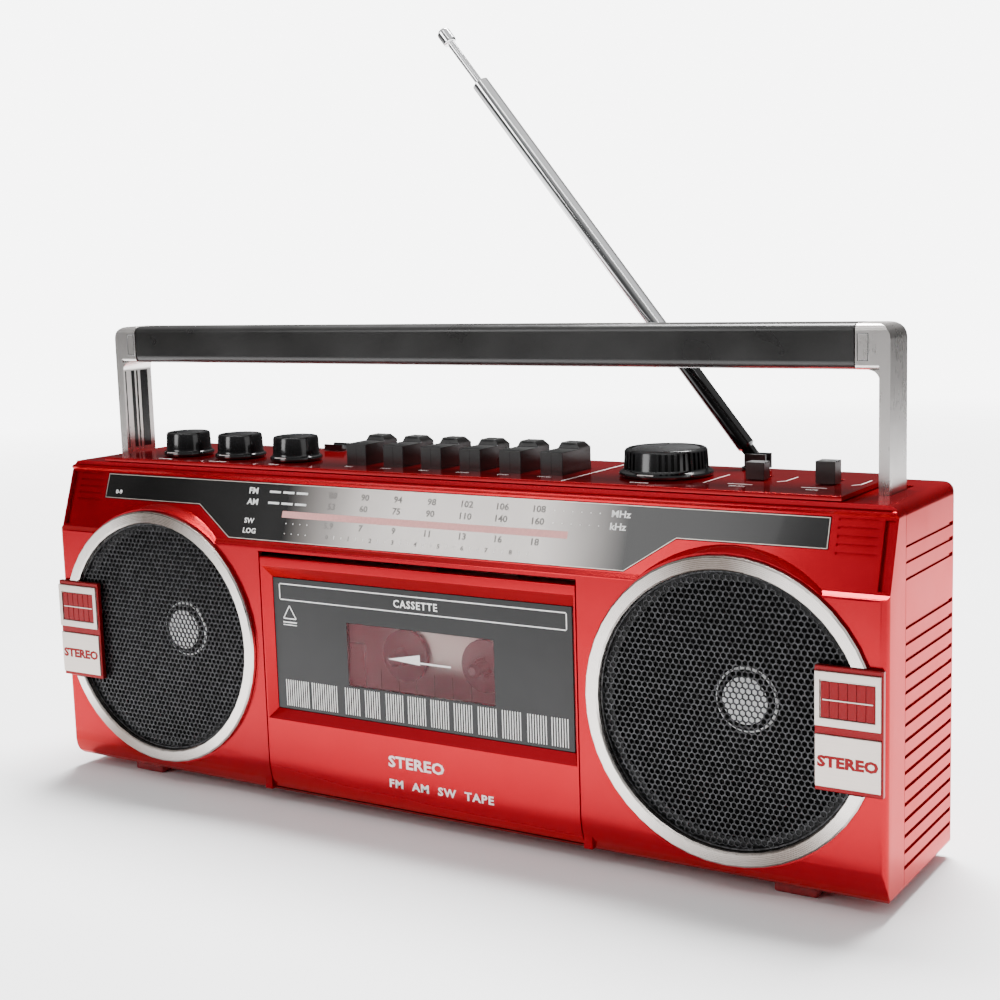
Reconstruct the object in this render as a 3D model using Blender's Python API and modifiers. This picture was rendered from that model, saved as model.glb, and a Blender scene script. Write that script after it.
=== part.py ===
# Portable stereo radio-cassette player, modelled as separate pieces.
# Metres, +Z up, +X to the player's right seen from the front, -Y towards the front.
# The origin is on the ground under the middle of the cabinet.
import math

import bmesh
import bpy
from mathutils import Vector

# Clearances
GAP = 0.0003            # between pieces that touch or are fixed together
FIT = 0.0004            # around keys, shafts and sliding pieces

# Cabinet
WIDTH = 0.420
FACE_Y = -0.0385
SEAM_Y = -0.0190
REAR_Y = 0.0410
UNDERSIDE_Z = 0.0055
TOP_Z = 0.1538
WALL = 0.0025
CORNER_TOP = 0.0050
CORNER_BOTTOM = 0.0030
CORNER_UPRIGHT = 0.0030

# Sloping upper front
SLOPE = math.radians(18.9)
SLOPE_LENGTH = 0.0284
SLOPE_HEAD_Y = -0.0266
SLOPE_HEAD_DROP = 0.0045
LEDGE_DROP = 0.0011
CHIN_HEIGHT = 0.0175
CHIN_DEPTH = 0.0075
END_CHANNEL_X = (0.2050, 0.2088)
LOUVRE_X = (0.1875, 0.2028)
LOUVRE_COUNT = 5
LOUVRE_PITCH = 0.0032

# Side grooves
GROOVE_DEPTH = 0.0008
GROOVE_HEIGHT = 0.0016
GROOVE_PITCH = 0.00615
LOWER_GROOVES = 16
LOWER_GROOVE_TOP = 0.1074
UPPER_GROOVES = (0.1380, 0.1320, 0.1257)

# Tuning dial
DIAL_HALF = 0.1845
DIAL_MIDDLE = 0.1230
DIAL_LOWER = 0.1020
DIAL_TOP = 0.0273
DIAL_STRIP = 0.0151
DIAL_RISE = 0.0002
DIAL_BOTTOM = 0.0007
LENS_THICK = 0.0015
DIAL_LIP = 0.0020
POINTER_WIDTH = 0.0012
POINTER_X = 0.0200
SCALE_GAP = 0.0017

# Control plate on the top
PLATE_HALF = 0.1880
PLATE_FRONT_Y = -0.0262
PLATE_REAR_Y = 0.0385
PLATE_RISE = 0.0022

# Speakers
SPEAKER_INSET = 0.0630
SPEAKER_Z = 0.0728
RING_OUTER = 0.0606
RING_INNER = 0.0549
RING_PROUD = 0.0025
COLLAR = 0.0010
SHOULDER_SLOPE = 0.25
GRILLE_THICK = 0.0010
FRAME_RADIUS = 0.0590
CONE_RADIUS = 0.0503
MAGNET_RADIUS = 0.0260
MAGNET_LENGTH = 0.0140

# Badges beside the speakers
BADGE_WIDTH = 0.0262
BADGE_PROUD = 0.0040
BADGE_BOTTOM = 0.0485
BADGE_TOP = 0.0960

# Knobs, keys and switches
KNOB_X = (-0.1520, -0.1190, -0.0850)
KNOB_Y = -0.0050
KNOB_FLANGE = 0.0122
KNOB_RADIUS = 0.0108
KNOB_RISE = 0.0137
SHAFT_RADIUS = 0.0030
SHAFT_DROP = 0.0078
TUNING_X = 0.1010
TUNING_Y = 0.0057
TUNING_FLANGE = 0.0195
TUNING_RADIUS = 0.0175
KEY_FIRST_X = -0.0459
KEY_PITCH = 0.02034
KEY_WIDTH = 0.0108
KEY_FRONT_Y = -0.0105
KEY_STEP_Y = 0.0044
KEY_REAR_Y = 0.0140
KEY_FRONT_RISE = 0.0117
KEY_RISE = 0.0142
KEY_DROP = 0.0088
KEY_NAMES = ("record_key", "play_key", "rewind_key", "forward_key", "stop_key", "pause_key")
GUIDE_DROP = 0.0068
GUIDE_THICK = 0.0025
SWITCH_TRAVEL = 0.0090
SWITCH_STEM = 0.0040

# Handle
ARM_INNER_X = 0.1943
ARM_OUTER_X = 0.1986
ARM_FRONT_Y = -0.0040
ARM_REAR_Y = 0.0155
PIVOT_Y = 0.0060
PIVOT_DROP = 0.0168
PIVOT_RADIUS = 0.0030
ARM_FOOT_DROP = 0.0268
HANDLE_RISE = 0.0642
GRIP_RISE = 0.0467
CAP_INNER_X = 0.1850
SLOT_REAR_Y = 0.0247
TENON = 0.0050
TENON_SIDE = 0.0040

# Telescopic aerial
AERIAL_X = 0.1280
AERIAL_Y = 0.0340
AERIAL_RISE = 0.0067
AERIAL_LEAN = math.radians(38.66)
TUBE_RADIUS = 0.00375
TUBE_WALL = 0.0004
TUBE_LENGTH = 0.2080
TUBE_STEP = 0.00055
ROD_RADIUS = 0.0016
ROD_OUT = 0.0240
TIP_RADIUS = 0.0030
TIP_LENGTH = 0.0075
LUG_HALF = 0.0020
CHEEK = 0.0013
CLIP_X = (-0.0960, -0.0850)
CLIP_RISE = 0.0054

# Cassette compartment
DOOR_HALF = 0.0817
DOOR_TOP = 0.1165
DOOR_BOTTOM = 0.0083
DOOR_THICK = 0.0080
DOOR_GAP = 0.0006
DOOR_HEAD_GAP = 0.0024
DOOR_HINGE_Y = -0.0328
DOOR_HINGE_Z = 0.0125
HINGE_PIN = 0.0015
LENS_HALF = 0.0778
LENS_BOTTOM = 0.0460
LENS_TOP = 0.1065
LENS_INSET = 0.0040
LIP_Z = 0.0415
BEVEL_EDGE = 0.0040
DOOR_LENS_THICK = 0.0020
WINDOW_HALF = 0.0400
WINDOW_BOTTOM = 0.0580
WINDOW_TOP = 0.0920
CASSETTE_WIDTH = 0.1024
CASSETTE_FRONT_Y = -0.0285
CASSETTE_THICK = 0.0120
CASSETTE_BOTTOM = 0.0360
HOLDER_WALL = 0.0015
HOLDER_TOP = 0.0750
HUB_SPACING = 0.0425
HUB_Z = 0.0710
REEL_RADIUS = 0.0120
SPINDLE_RADIUS = 0.0032
SPINDLE_TIP_Y = -0.0235

# Tape deck behind the compartment
DECK_HALF = 0.0750
DECK_Y = -0.0110
DECK_THICK = 0.0016
DECK_BOTTOM = 0.0340
DECK_TOP = 0.1380
CAPSTAN_X = -0.0240
CAPSTAN_Z = 0.0970
CAPSTAN_RADIUS = 0.0012
FLYWHEEL_RADIUS = 0.0220
FLYWHEEL_THICK = 0.0050
ROLLER_RADIUS = 0.0060
HEAD_TRAVEL = 0.0040
MOTOR_X = 0.0480
MOTOR_Z = 0.0620
MOTOR_RADIUS = 0.0150
MOTOR_LENGTH = 0.0220

# Power and electronics
BATTERY_HALF = 0.1120
BATTERY_Y = 0.0080
BATTERY_BOTTOM = 0.0100
BATTERY_TOP = 0.0460
BATTERY_WALL = 0.0015
BATTERY_DOOR_THICK = 0.0022
BATTERY_DOOR_BOTTOM = 0.0123
BATTERY_DOOR_TOP = 0.0455
BATTERY_DOOR_HALF = 0.1090
INLET_X = -0.1650
INLET_Z = 0.0280
INLET_SIZE = (0.0240, 0.0160)
INLET_POCKET = (0.0180, 0.0100)
INLET_DEPTH = 0.0080
TRANSFORMER_SIZE = (0.0480, 0.0260, 0.0320)
BOARD_Y = 0.0190
BOARD_THICK = 0.0016
FOOT_SIZE = (0.0180, 0.0075)
FOOT_X = 0.1700
FRONT_FOOT_Y = -0.0275
REAR_FOOT_Y = 0.0300

# Shared heights and places that follow from the sizes above
HALF = WIDTH / 2
PLATE_BOTTOM = TOP_Z + GAP
PLATE_TOP = TOP_Z + PLATE_RISE
SCALE_DEPTH = WALL + SCALE_GAP
KNOB_TOP = TOP_Z + KNOB_RISE
SHAFT_BOTTOM = TOP_Z - SHAFT_DROP
KEY_FRONT_TOP = TOP_Z + KEY_FRONT_RISE
KEY_TOP = TOP_Z + KEY_RISE
KEY_BOTTOM = TOP_Z - KEY_DROP
GUIDE_BOTTOM = TOP_Z - GUIDE_DROP
PIVOT_Z = TOP_Z - PIVOT_DROP
ARM_FOOT_Z = TOP_Z - ARM_FOOT_DROP
HANDLE_TOP = TOP_Z + HANDLE_RISE
GRIP_BOTTOM = TOP_Z + GRIP_RISE
AERIAL_Z = TOP_Z + AERIAL_RISE
CLIP_TOP = TOP_Z + CLIP_RISE
ON_PLATE = PLATE_TOP + GAP
SLOPE_HEAD_Z = TOP_Z - SLOPE_HEAD_DROP
SLOPE_FOOT_Y = SLOPE_HEAD_Y - SLOPE_LENGTH * math.sin(SLOPE)
SLOPE_FOOT_Z = SLOPE_HEAD_Z - SLOPE_LENGTH * math.cos(SLOPE)
LEDGE_Z = SLOPE_FOOT_Z - LEDGE_DROP
CHIN_TOP = UNDERSIDE_Z + CHIN_HEIGHT
SPEAKER_X = HALF - SPEAKER_INSET
COLLAR_OUTER = RING_INNER + COLLAR
SPEAKER_HOLE = COLLAR_OUTER + GAP
FACE_INNER_Y = FACE_Y + WALL
RING_BACK_Y = FACE_Y - GAP
GRILLE_Y = FACE_Y + 0.0008
POCKET_Y = FACE_INNER_Y + 0.0003
FRAME_Y = POCKET_Y + GAP
DECK_BACK_Y = DECK_Y + DECK_THICK
LENS_Y = FACE_Y + LENS_INSET

PARTS = "Radio cassette player"
CUTTERS = "Cutters"


def collection(name):
    made = bpy.data.collections.new(name)
    bpy.context.scene.collection.children.link(made)
    return made


def clear_scene():
    for thing in list(bpy.data.objects):
        bpy.data.objects.remove(thing, do_unlink=True)
    for group in list(bpy.data.collections):
        bpy.data.collections.remove(group)


def paint(thing, name, colour, roughness, metallic=0.0, alpha=1.0):
    # One Principled material for each kind of surface, shared by its pieces.
    made = bpy.data.materials.get(name)
    if made is None:
        made = bpy.data.materials.new(name)
        made.use_nodes = True
        shader = made.node_tree.nodes["Principled BSDF"]
        shader.inputs["Base Color"].default_value = (*colour, 1.0)
        shader.inputs["Roughness"].default_value = roughness
        shader.inputs["Metallic"].default_value = metallic
        shader.inputs["Alpha"].default_value = alpha
    thing.data.materials.clear()
    thing.data.materials.append(made)
    return thing


def red_plastic(thing):
    return paint(thing, "Red plastic", (0.62, 0.012, 0.018), 0.22)


def black_plastic(thing):
    return paint(thing, "Black plastic", (0.012, 0.012, 0.013), 0.28)


def key_plastic(thing):
    return paint(thing, "Key plastic", (0.030, 0.030, 0.031), 0.38)


def chrome(thing):
    return paint(thing, "Chrome", (0.86, 0.86, 0.87), 0.08, 1.0)


def steel(thing):
    return paint(thing, "Plated steel", (0.55, 0.55, 0.54), 0.35, 1.0)


def silver_trim(thing):
    return paint(thing, "Silver trim", (0.78, 0.75, 0.70), 0.26, 1.0)


def grille_metal(thing):
    return paint(thing, "Grille metal", (0.045, 0.045, 0.048), 0.42, 0.7)


def smoked_lens(thing):
    return paint(thing, "Smoked lens", (0.050, 0.052, 0.055), 0.12)


def cone_paper(thing):
    return paint(thing, "Cone paper", (0.020, 0.019, 0.018), 0.80)


def board_green(thing):
    return paint(thing, "Circuit board", (0.015, 0.085, 0.030), 0.45)


def rubber(thing):
    return paint(thing, "Rubber", (0.020, 0.020, 0.020), 0.75)


def ferrite(thing):
    return paint(thing, "Ferrite", (0.040, 0.038, 0.037), 0.60)


def link(name, mesh):
    thing = bpy.data.objects.new(name, mesh)
    bpy.data.collections[PARTS].objects.link(thing)
    return thing


def shade(mesh):
    for face in mesh.polygons:
        face.use_smooth = True
    mesh.set_sharp_from_angle(angle=math.radians(35))


def box(name, xs, ys, zs, origin=None):
    # A block between two limits on each axis, with its origin where it is asked for.
    low = Vector((xs[0], ys[0], zs[0]))
    high = Vector((xs[1], ys[1], zs[1]))
    at = Vector(origin) if origin else (low + high) / 2
    form = bmesh.new()
    bmesh.ops.create_cube(form, size=1.0)
    for vert in form.verts:
        for axis in range(3):
            edge = high[axis] if vert.co[axis] > 0 else low[axis]
            vert.co[axis] = edge - at[axis]
    mesh = bpy.data.meshes.new(name)
    form.to_mesh(mesh)
    form.free()
    thing = link(name, mesh)
    thing.location = at
    return thing


TURN = {"X": (0.0, math.pi / 2, 0.0), "Y": (math.pi / 2, 0.0, 0.0), "Z": (0.0, 0.0, 0.0)}


def cylinder(name, radius, length, centre, axis="Z", segments=32, top=None):
    form = bmesh.new()
    bmesh.ops.create_cone(form, cap_ends=True, segments=segments, radius1=radius,
                          radius2=radius if top is None else top, depth=length)
    mesh = bpy.data.meshes.new(name)
    form.to_mesh(mesh)
    form.free()
    shade(mesh)
    thing = link(name, mesh)
    thing.location = centre
    thing.rotation_euler = TURN[axis]
    return thing


def turned(name, profile, place, axis="Z", steps=32, closed=True):
    # A profile of (radius, height) points spun about the piece's own Z axis.
    # With axis "Y" the piece's Z axis points to the front of the player.
    mesh = bpy.data.meshes.new(name)
    form = bmesh.new()
    verts = [form.verts.new((radius, 0.0, height)) for radius, height in profile]
    pairs = list(zip(verts, verts[1:]))
    if closed:
        pairs.append((verts[-1], verts[0]))
    for first, second in pairs:
        form.edges.new((first, second))
    form.to_mesh(mesh)
    form.free()
    thing = link(name, mesh)
    thing.location = place
    thing.rotation_euler = TURN[axis]
    screw = thing.modifiers.new("Turn", "SCREW")
    screw.steps = steps
    screw.render_steps = steps
    screw.use_merge_vertices = True
    screw.merge_threshold = 0.00001
    screw.use_smooth_shade = False
    return thing


def as_mesh(thing):
    # Swaps a curve, or a piece with live modifiers, for the mesh it makes.
    bpy.context.view_layer.update()
    graph = bpy.context.evaluated_depsgraph_get()
    mesh = bpy.data.meshes.new_from_object(thing.evaluated_get(graph))
    form = bmesh.new()
    form.from_mesh(mesh)
    bmesh.ops.remove_doubles(form, verts=form.verts, dist=0.000005)
    form.to_mesh(mesh)
    form.free()
    name = thing.name
    matrix = thing.matrix_world.copy()
    bpy.data.objects.remove(thing, do_unlink=True)
    made = link(name, mesh)
    made.matrix_world = matrix
    return made


def outline(name, points, thickness, matrix_turn, place):
    # A flat closed outline thickened evenly to both sides of its plane.
    curve = bpy.data.curves.new(name, "CURVE")
    curve.dimensions = "2D"
    curve.fill_mode = "BOTH"
    curve.extrude = thickness / 2
    spline = curve.splines.new("POLY")
    spline.points.add(len(points) - 1)
    for point, (u, v) in zip(spline.points, points):
        point.co = (u, v, 0.0, 1.0)
    spline.use_cyclic_u = True
    thing = bpy.data.objects.new(name, curve)
    bpy.data.collections[PARTS].objects.link(thing)
    thing.rotation_euler = matrix_turn
    thing.location = place
    return as_mesh(thing)


def across(name, points, xs):
    # An outline drawn in (y, z), as wide as xs.
    turn = (math.pi / 2, 0.0, math.pi / 2)
    return outline(name, points, xs[1] - xs[0], turn, ((xs[0] + xs[1]) / 2, 0.0, 0.0))


def through(name, points, ys):
    # An outline drawn in (x, z), as deep as ys.
    turn = (math.pi / 2, 0.0, 0.0)
    return outline(name, points, ys[1] - ys[0], turn, (0.0, (ys[0] + ys[1]) / 2, 0.0))


def upright(name, points, zs):
    # An outline drawn in (x, y), as tall as zs.
    return outline(name, points, zs[1] - zs[0], (0.0, 0.0, 0.0), (0.0, 0.0, (zs[0] + zs[1]) / 2))


def on_slope(name, points, depths):
    # An outline drawn on the sloping front, between two distances out from it.
    middle = (depths[0] + depths[1]) / 2
    place = (0.0, SLOPE_FOOT_Y - middle * math.cos(SLOPE), SLOPE_FOOT_Z + middle * math.sin(SLOPE))
    turn = (math.pi / 2 - SLOPE, 0.0, 0.0)
    return outline(name, points, depths[1] - depths[0], turn, place)


def arc(centre, radii, start, end, count=6):
    made = []
    for step in range(count + 1):
        angle = math.radians(start + (end - start) * step / count)
        made.append((centre[0] + radii[0] * math.cos(angle), centre[1] + radii[1] * math.sin(angle)))
    return made


def rounded_rectangle(us, vs, lower, upper, count=5):
    # Corners may have one radius at the lower side and another at the upper side.
    low = (lower, lower)
    high = (upper, upper)
    points = arc((us[1] - lower, vs[0] + lower), low, -90, 0, count)
    points += arc((us[1] - upper, vs[1] - upper), high, 0, 90, count)
    points += arc((us[0] + upper, vs[1] - upper), high, 90, 180, count)
    points += arc((us[0] + lower, vs[0] + lower), low, 180, 270, count)
    return points


def boolean(thing, other, operation):
    change = thing.modifiers.new(operation.title(), "BOOLEAN")
    change.operation = operation
    change.solver = "EXACT"
    change.object = other
    other.hide_render = True
    other.display_type = "WIRE"
    for group in list(other.users_collection):
        group.objects.unlink(other)
    bpy.data.collections[CUTTERS].objects.link(other)


def cut(thing, *others):
    for other in others:
        boolean(thing, other, "DIFFERENCE")
    return thing


def fuse(thing, *others):
    for other in others:
        boolean(thing, other, "UNION")
    return thing


def keep_inside(thing, *others):
    for other in others:
        boolean(thing, other, "INTERSECT")
    return thing


def many(name, blocks):
    # Separate blocks in one cutter, each given as its limits on the three axes.
    form = bmesh.new()
    for limits in blocks:
        made = bmesh.ops.create_cube(form, size=1.0)
        for vert in made["verts"]:
            for axis in range(3):
                vert.co[axis] = limits[axis][1] if vert.co[axis] > 0 else limits[axis][0]
    mesh = bpy.data.meshes.new(name)
    form.to_mesh(mesh)
    form.free()
    return link(name, mesh)


def bevel(thing, width, segments=2, angle=40):
    soften = thing.modifiers.new("Bevel", "BEVEL")
    soften.width = width
    soften.segments = segments
    soften.limit_method = "ANGLE"
    soften.angle_limit = math.radians(angle)
    soften.miter_outer = "MITER_ARC"
    return thing


def mirrored(limits, side):
    # The same pair of limits on the other side of the middle when side is -1.
    return (limits[0], limits[1]) if side > 0 else (-limits[1], -limits[0])


SIDES = (("left", -1), ("right", 1))


def front_view_outline():
    # The cabinet's outline seen from the front.
    return rounded_rectangle((-HALF, HALF), (UNDERSIDE_Z, TOP_Z), CORNER_BOTTOM, CORNER_TOP)


def plan_outline():
    # The cabinet's outline seen from above.
    return rounded_rectangle((-HALF, HALF), (FACE_Y, REAR_Y), CORNER_UPRIGHT, CORNER_UPRIGHT, 4)


def chin(face_y, inset, count=6):
    # The curve from the face down and back to the underside.
    centre = (FACE_Y + CHIN_DEPTH, CHIN_TOP)
    radii = (centre[0] - face_y, CHIN_HEIGHT - inset)
    return arc(centre, radii, 180, 270, count)


def front_profile():
    points = [(SEAM_Y - GAP / 2, UNDERSIDE_Z), (SEAM_Y - GAP / 2, TOP_Z)]
    points += [(SLOPE_HEAD_Y - 0.0005, TOP_Z), (SLOPE_HEAD_Y - 0.0005, TOP_Z - 0.0005)]
    points += [(SLOPE_HEAD_Y + 0.0008, TOP_Z - 0.0008), (SLOPE_HEAD_Y + 0.0008, TOP_Z - 0.0020)]
    points += arc((SLOPE_HEAD_Y + 0.0004, TOP_Z - 0.0033), (0.0014, 0.0012), 90, 180, 4)
    points += [(SLOPE_HEAD_Y, SLOPE_HEAD_Z), (SLOPE_FOOT_Y, SLOPE_FOOT_Z)]
    points += arc((FACE_Y + 0.0010, LEDGE_Z - 0.0010), (0.0010, 0.0010), 90, 180, 3)
    points += chin(FACE_Y, 0.0)
    return points


def inner_profile():
    points = [(SEAM_Y + 0.0100, UNDERSIDE_Z + WALL), (SEAM_Y + 0.0100, TOP_Z - WALL)]
    points += [(SLOPE_HEAD_Y + WALL, TOP_Z - WALL), (SLOPE_HEAD_Y + WALL, SLOPE_HEAD_Z)]
    points += [(SLOPE_FOOT_Y + WALL / math.cos(SLOPE), SLOPE_FOOT_Z)]
    points += [(FACE_INNER_Y, LEDGE_Z - WALL)]
    points += chin(FACE_INNER_Y, WALL)
    return points


def dial_outline(grow):
    # The dial is a long strip with a deeper middle, grown or shrunk evenly.
    run = DIAL_MIDDLE - DIAL_LOWER
    drop = DIAL_STRIP - DIAL_BOTTOM
    length = math.hypot(run, drop)
    shift = grow * (1 - run / length) / (drop / length)
    right = [(DIAL_LOWER + shift, DIAL_BOTTOM - grow), (DIAL_MIDDLE + shift, DIAL_STRIP - grow)]
    right += [(DIAL_HALF + grow, DIAL_STRIP + DIAL_RISE - grow), (DIAL_HALF + grow, DIAL_TOP + grow)]
    return right + [(-u, v) for u, v in reversed(right)]


def louvre_cutters():
    blocks = []
    half = 0.0005
    for _, side in SIDES:
        for row in range(LOUVRE_COUNT):
            low = DIAL_TOP - 0.0005 - row * LOUVRE_PITCH
            blocks.append((mirrored(LOUVRE_X, side), (low - half, low + half), (-0.0007, 0.0020)))
        blocks.append((mirrored(END_CHANNEL_X, side), (0.0012, SLOPE_LENGTH - 0.0010), (-0.0018, 0.0020)))
    cutter = many("louvre_cutter", blocks)
    cutter.location = (0.0, SLOPE_FOOT_Y, SLOPE_FOOT_Z)
    cutter.rotation_euler = (math.pi / 2 - SLOPE, 0.0, 0.0)
    return cutter


def front_cabinet():
    body = across("front_cabinet", front_profile(), (-HALF, HALF))
    for side_name, side in SIDES:
        depth = SLOPE_HEAD_Y - FACE_Y
        wide = RING_OUTER + 0.0009
        shoulder = cylinder("shoulder_" + side_name, wide + SHOULDER_SLOPE * depth, depth,
                            (side * SPEAKER_X, FACE_Y + depth / 2, SPEAKER_Z), "Y", 64, wide)
        fuse(body, shoulder)
    keep_inside(body, through("front_view", front_view_outline(), (FACE_Y - 0.01, SEAM_Y + 0.01)))
    keep_inside(body, upright("front_plan", plan_outline(), (-0.01, TOP_Z + 0.01)))
    cut(body, across("front_cavity", inner_profile(), (-HALF + WALL, HALF - WALL)))
    cut(body, on_slope("dial_recess", dial_outline(GAP), (-LENS_THICK - GAP, 0.01)))
    cut(body, on_slope("dial_window", dial_outline(-DIAL_LIP), (-0.01, 0.01)))
    cut(body, louvre_cutters())
    for side_name, side in SIDES:
        step = FACE_Y - POCKET_Y
        wide = FRAME_RADIUS + 0.0010
        shape = [(0.0, 0.010), (SPEAKER_HOLE, 0.010), (SPEAKER_HOLE, step), (wide, step), (wide, -0.030), (0.0, -0.030)]
        cut(body, turned("speaker_hole_" + side_name, shape, (side * SPEAKER_X, FACE_Y, SPEAKER_Z), "Y", 64, False))
    door_edge = DOOR_HALF + DOOR_GAP
    cut(body, box("door_opening", (-door_edge, door_edge), (FACE_Y - 0.01, FACE_Y + DOOR_THICK + 0.0010),
                  (UNDERSIDE_Z + WALL - 0.0008, DOOR_TOP + DOOR_HEAD_GAP)))
    for side_name, side in SIDES:
        ear = box("hinge_boss_" + side_name, mirrored((door_edge + 0.0001, door_edge + 0.0040), side),
                  (FACE_INNER_Y - 0.0010, DOOR_HINGE_Y + 0.0035),
                  (UNDERSIDE_Z + WALL - 0.0010, DOOR_HINGE_Z + 0.0045))
        fuse(body, ear)
        hole = cylinder("hinge_hole_" + side_name, HINGE_PIN + GAP, 0.0060,
                        (side * (door_edge + 0.0005), DOOR_HINGE_Y, DOOR_HINGE_Z), "X", 20)
        cut(body, hole)
    return red_plastic(body)


def side_groove_cutters():
    blocks = []
    heights = list(UPPER_GROOVES)
    heights += [LOWER_GROOVE_TOP - row * GROOVE_PITCH for row in range(LOWER_GROOVES)]
    half = GROOVE_HEIGHT / 2
    for _, side in SIDES:
        for height in heights:
            blocks.append((mirrored((HALF - GROOVE_DEPTH, HALF + 0.002), side),
                           (SEAM_Y - 0.002, REAR_Y - 0.0035), (height - half, height + half)))
    return many("side_grooves", blocks)


def rear_cabinet():
    body = through("rear_cabinet", front_view_outline(), (SEAM_Y + GAP / 2, REAR_Y))
    keep_inside(body, upright("rear_plan", plan_outline(), (-0.01, TOP_Z + 0.01)))
    cut(body, box("rear_cavity", (-HALF + WALL, HALF - WALL), (SEAM_Y - 0.01, REAR_Y - WALL),
                  (UNDERSIDE_Z + WALL, TOP_Z - WALL)))
    cut(body, side_groove_cutters())
    cut(body, box("plate_opening", (-PLATE_HALF + 0.010, PLATE_HALF - 0.010),
                  (SEAM_Y + 0.005, PLATE_REAR_Y - 0.0085), (TOP_Z - 0.010, TOP_Z + 0.010)))
    cut(body, cylinder("aerial_hole", 0.0042, 0.02, (AERIAL_X, AERIAL_Y, TOP_Z), "Z", 24))
    for side_name, side in SIDES:
        edges = mirrored((ARM_INNER_X - FIT, ARM_OUTER_X + FIT), side)
        slot = rounded_rectangle(edges, (ARM_FRONT_Y - 0.0005, SLOT_REAR_Y), 0.0004, 0.0022, 4)
        cut(body, upright("handle_slot_" + side_name, slot, (TOP_Z - 0.010, TOP_Z + 0.010)))
        start = ARM_OUTER_X + FIT
        boss = cylinder("pivot_boss_" + side_name, 0.0070, HALF - WALL / 2 - start,
                        (side * (start + HALF - WALL / 2) / 2, PIVOT_Y, PIVOT_Z), "X", 24)
        fuse(body, boss)
        hole = cylinder("pivot_hole_" + side_name, PIVOT_RADIUS + GAP, 0.0160,
                        (side * (start - 0.0010), PIVOT_Y, PIVOT_Z), "X", 24)
        cut(body, hole)
    door_edge = BATTERY_DOOR_HALF + DOOR_GAP
    cut(body, box("battery_opening", (-door_edge, door_edge), (REAR_Y - 0.01, REAR_Y + 0.01),
                  (BATTERY_DOOR_BOTTOM - 0.0009, BATTERY_DOOR_TOP + DOOR_GAP)))
    cut(body, box("inlet_opening", (INLET_X - INLET_SIZE[0] / 2 - GAP, INLET_X + INLET_SIZE[0] / 2 + GAP),
                  (REAR_Y - 0.01, REAR_Y + 0.01),
                  (INLET_Z - INLET_SIZE[1] / 2 - GAP, INLET_Z + INLET_SIZE[1] / 2 + GAP)))
    return red_plastic(body)


def key_x(index):
    return KEY_FIRST_X + index * KEY_PITCH


SWITCHES = (("band_switch", 0.1412, 0.0030, 0.0060, TOP_Z + 0.0094),
            ("mode_switch", 0.17165, 0.0000, 0.0070, TOP_Z + 0.0114))


def top_plate():
    plate = box("top_plate", (-PLATE_HALF, PLATE_HALF), (PLATE_FRONT_Y, PLATE_REAR_Y), (PLATE_BOTTOM, PLATE_TOP))
    tall = (PLATE_BOTTOM - 0.01, PLATE_TOP + 0.01)
    blocks = []
    for index in range(len(KEY_NAMES)):
        half = KEY_WIDTH / 2 + FIT
        blocks.append(((key_x(index) - half, key_x(index) + half), (KEY_FRONT_Y - FIT, KEY_REAR_Y + FIT), tall))
    for _, x, front_y, length, _ in SWITCHES:
        half = SWITCH_STEM / 2 + FIT
        blocks.append(((x - half, x + half), (front_y + 0.0006, front_y + length + SWITCH_TRAVEL), tall))
    cut(plate, many("plate_slots", blocks))
    shafts = [(x, KNOB_Y) for x in KNOB_X] + [(TUNING_X, TUNING_Y)]
    for index, (x, y) in enumerate(shafts):
        cut(plate, cylinder("shaft_hole_%d" % index, SHAFT_RADIUS + FIT, 0.02, (x, y, PLATE_TOP), "Z", 24))
    cut(plate, cylinder("plate_aerial_hole", 0.0039, 0.02, (AERIAL_X, AERIAL_Y, PLATE_TOP), "Z", 24))
    return red_plastic(plate)


def dial():
    smoked_lens(on_slope("dial_lens", dial_outline(0.0), (-LENS_THICK, 0.0)))
    black_plastic(on_slope("dial_scale", dial_outline(-0.0010), (-SCALE_DEPTH - 0.0012, -SCALE_DEPTH)))
    half = POINTER_WIDTH / 2
    low = DIAL_BOTTOM + DIAL_LIP + 0.0010
    high = DIAL_TOP - DIAL_LIP - 0.0010
    bar = [(-half, low), (half, low), (half, high), (-half, high)]
    pointer = on_slope("dial_pointer", bar, (-WALL - 0.0013, -WALL - 0.0004))
    pointer.location.x = POINTER_X
    paint(pointer, "Pointer red", (0.75, 0.05, 0.03), 0.40)


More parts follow.
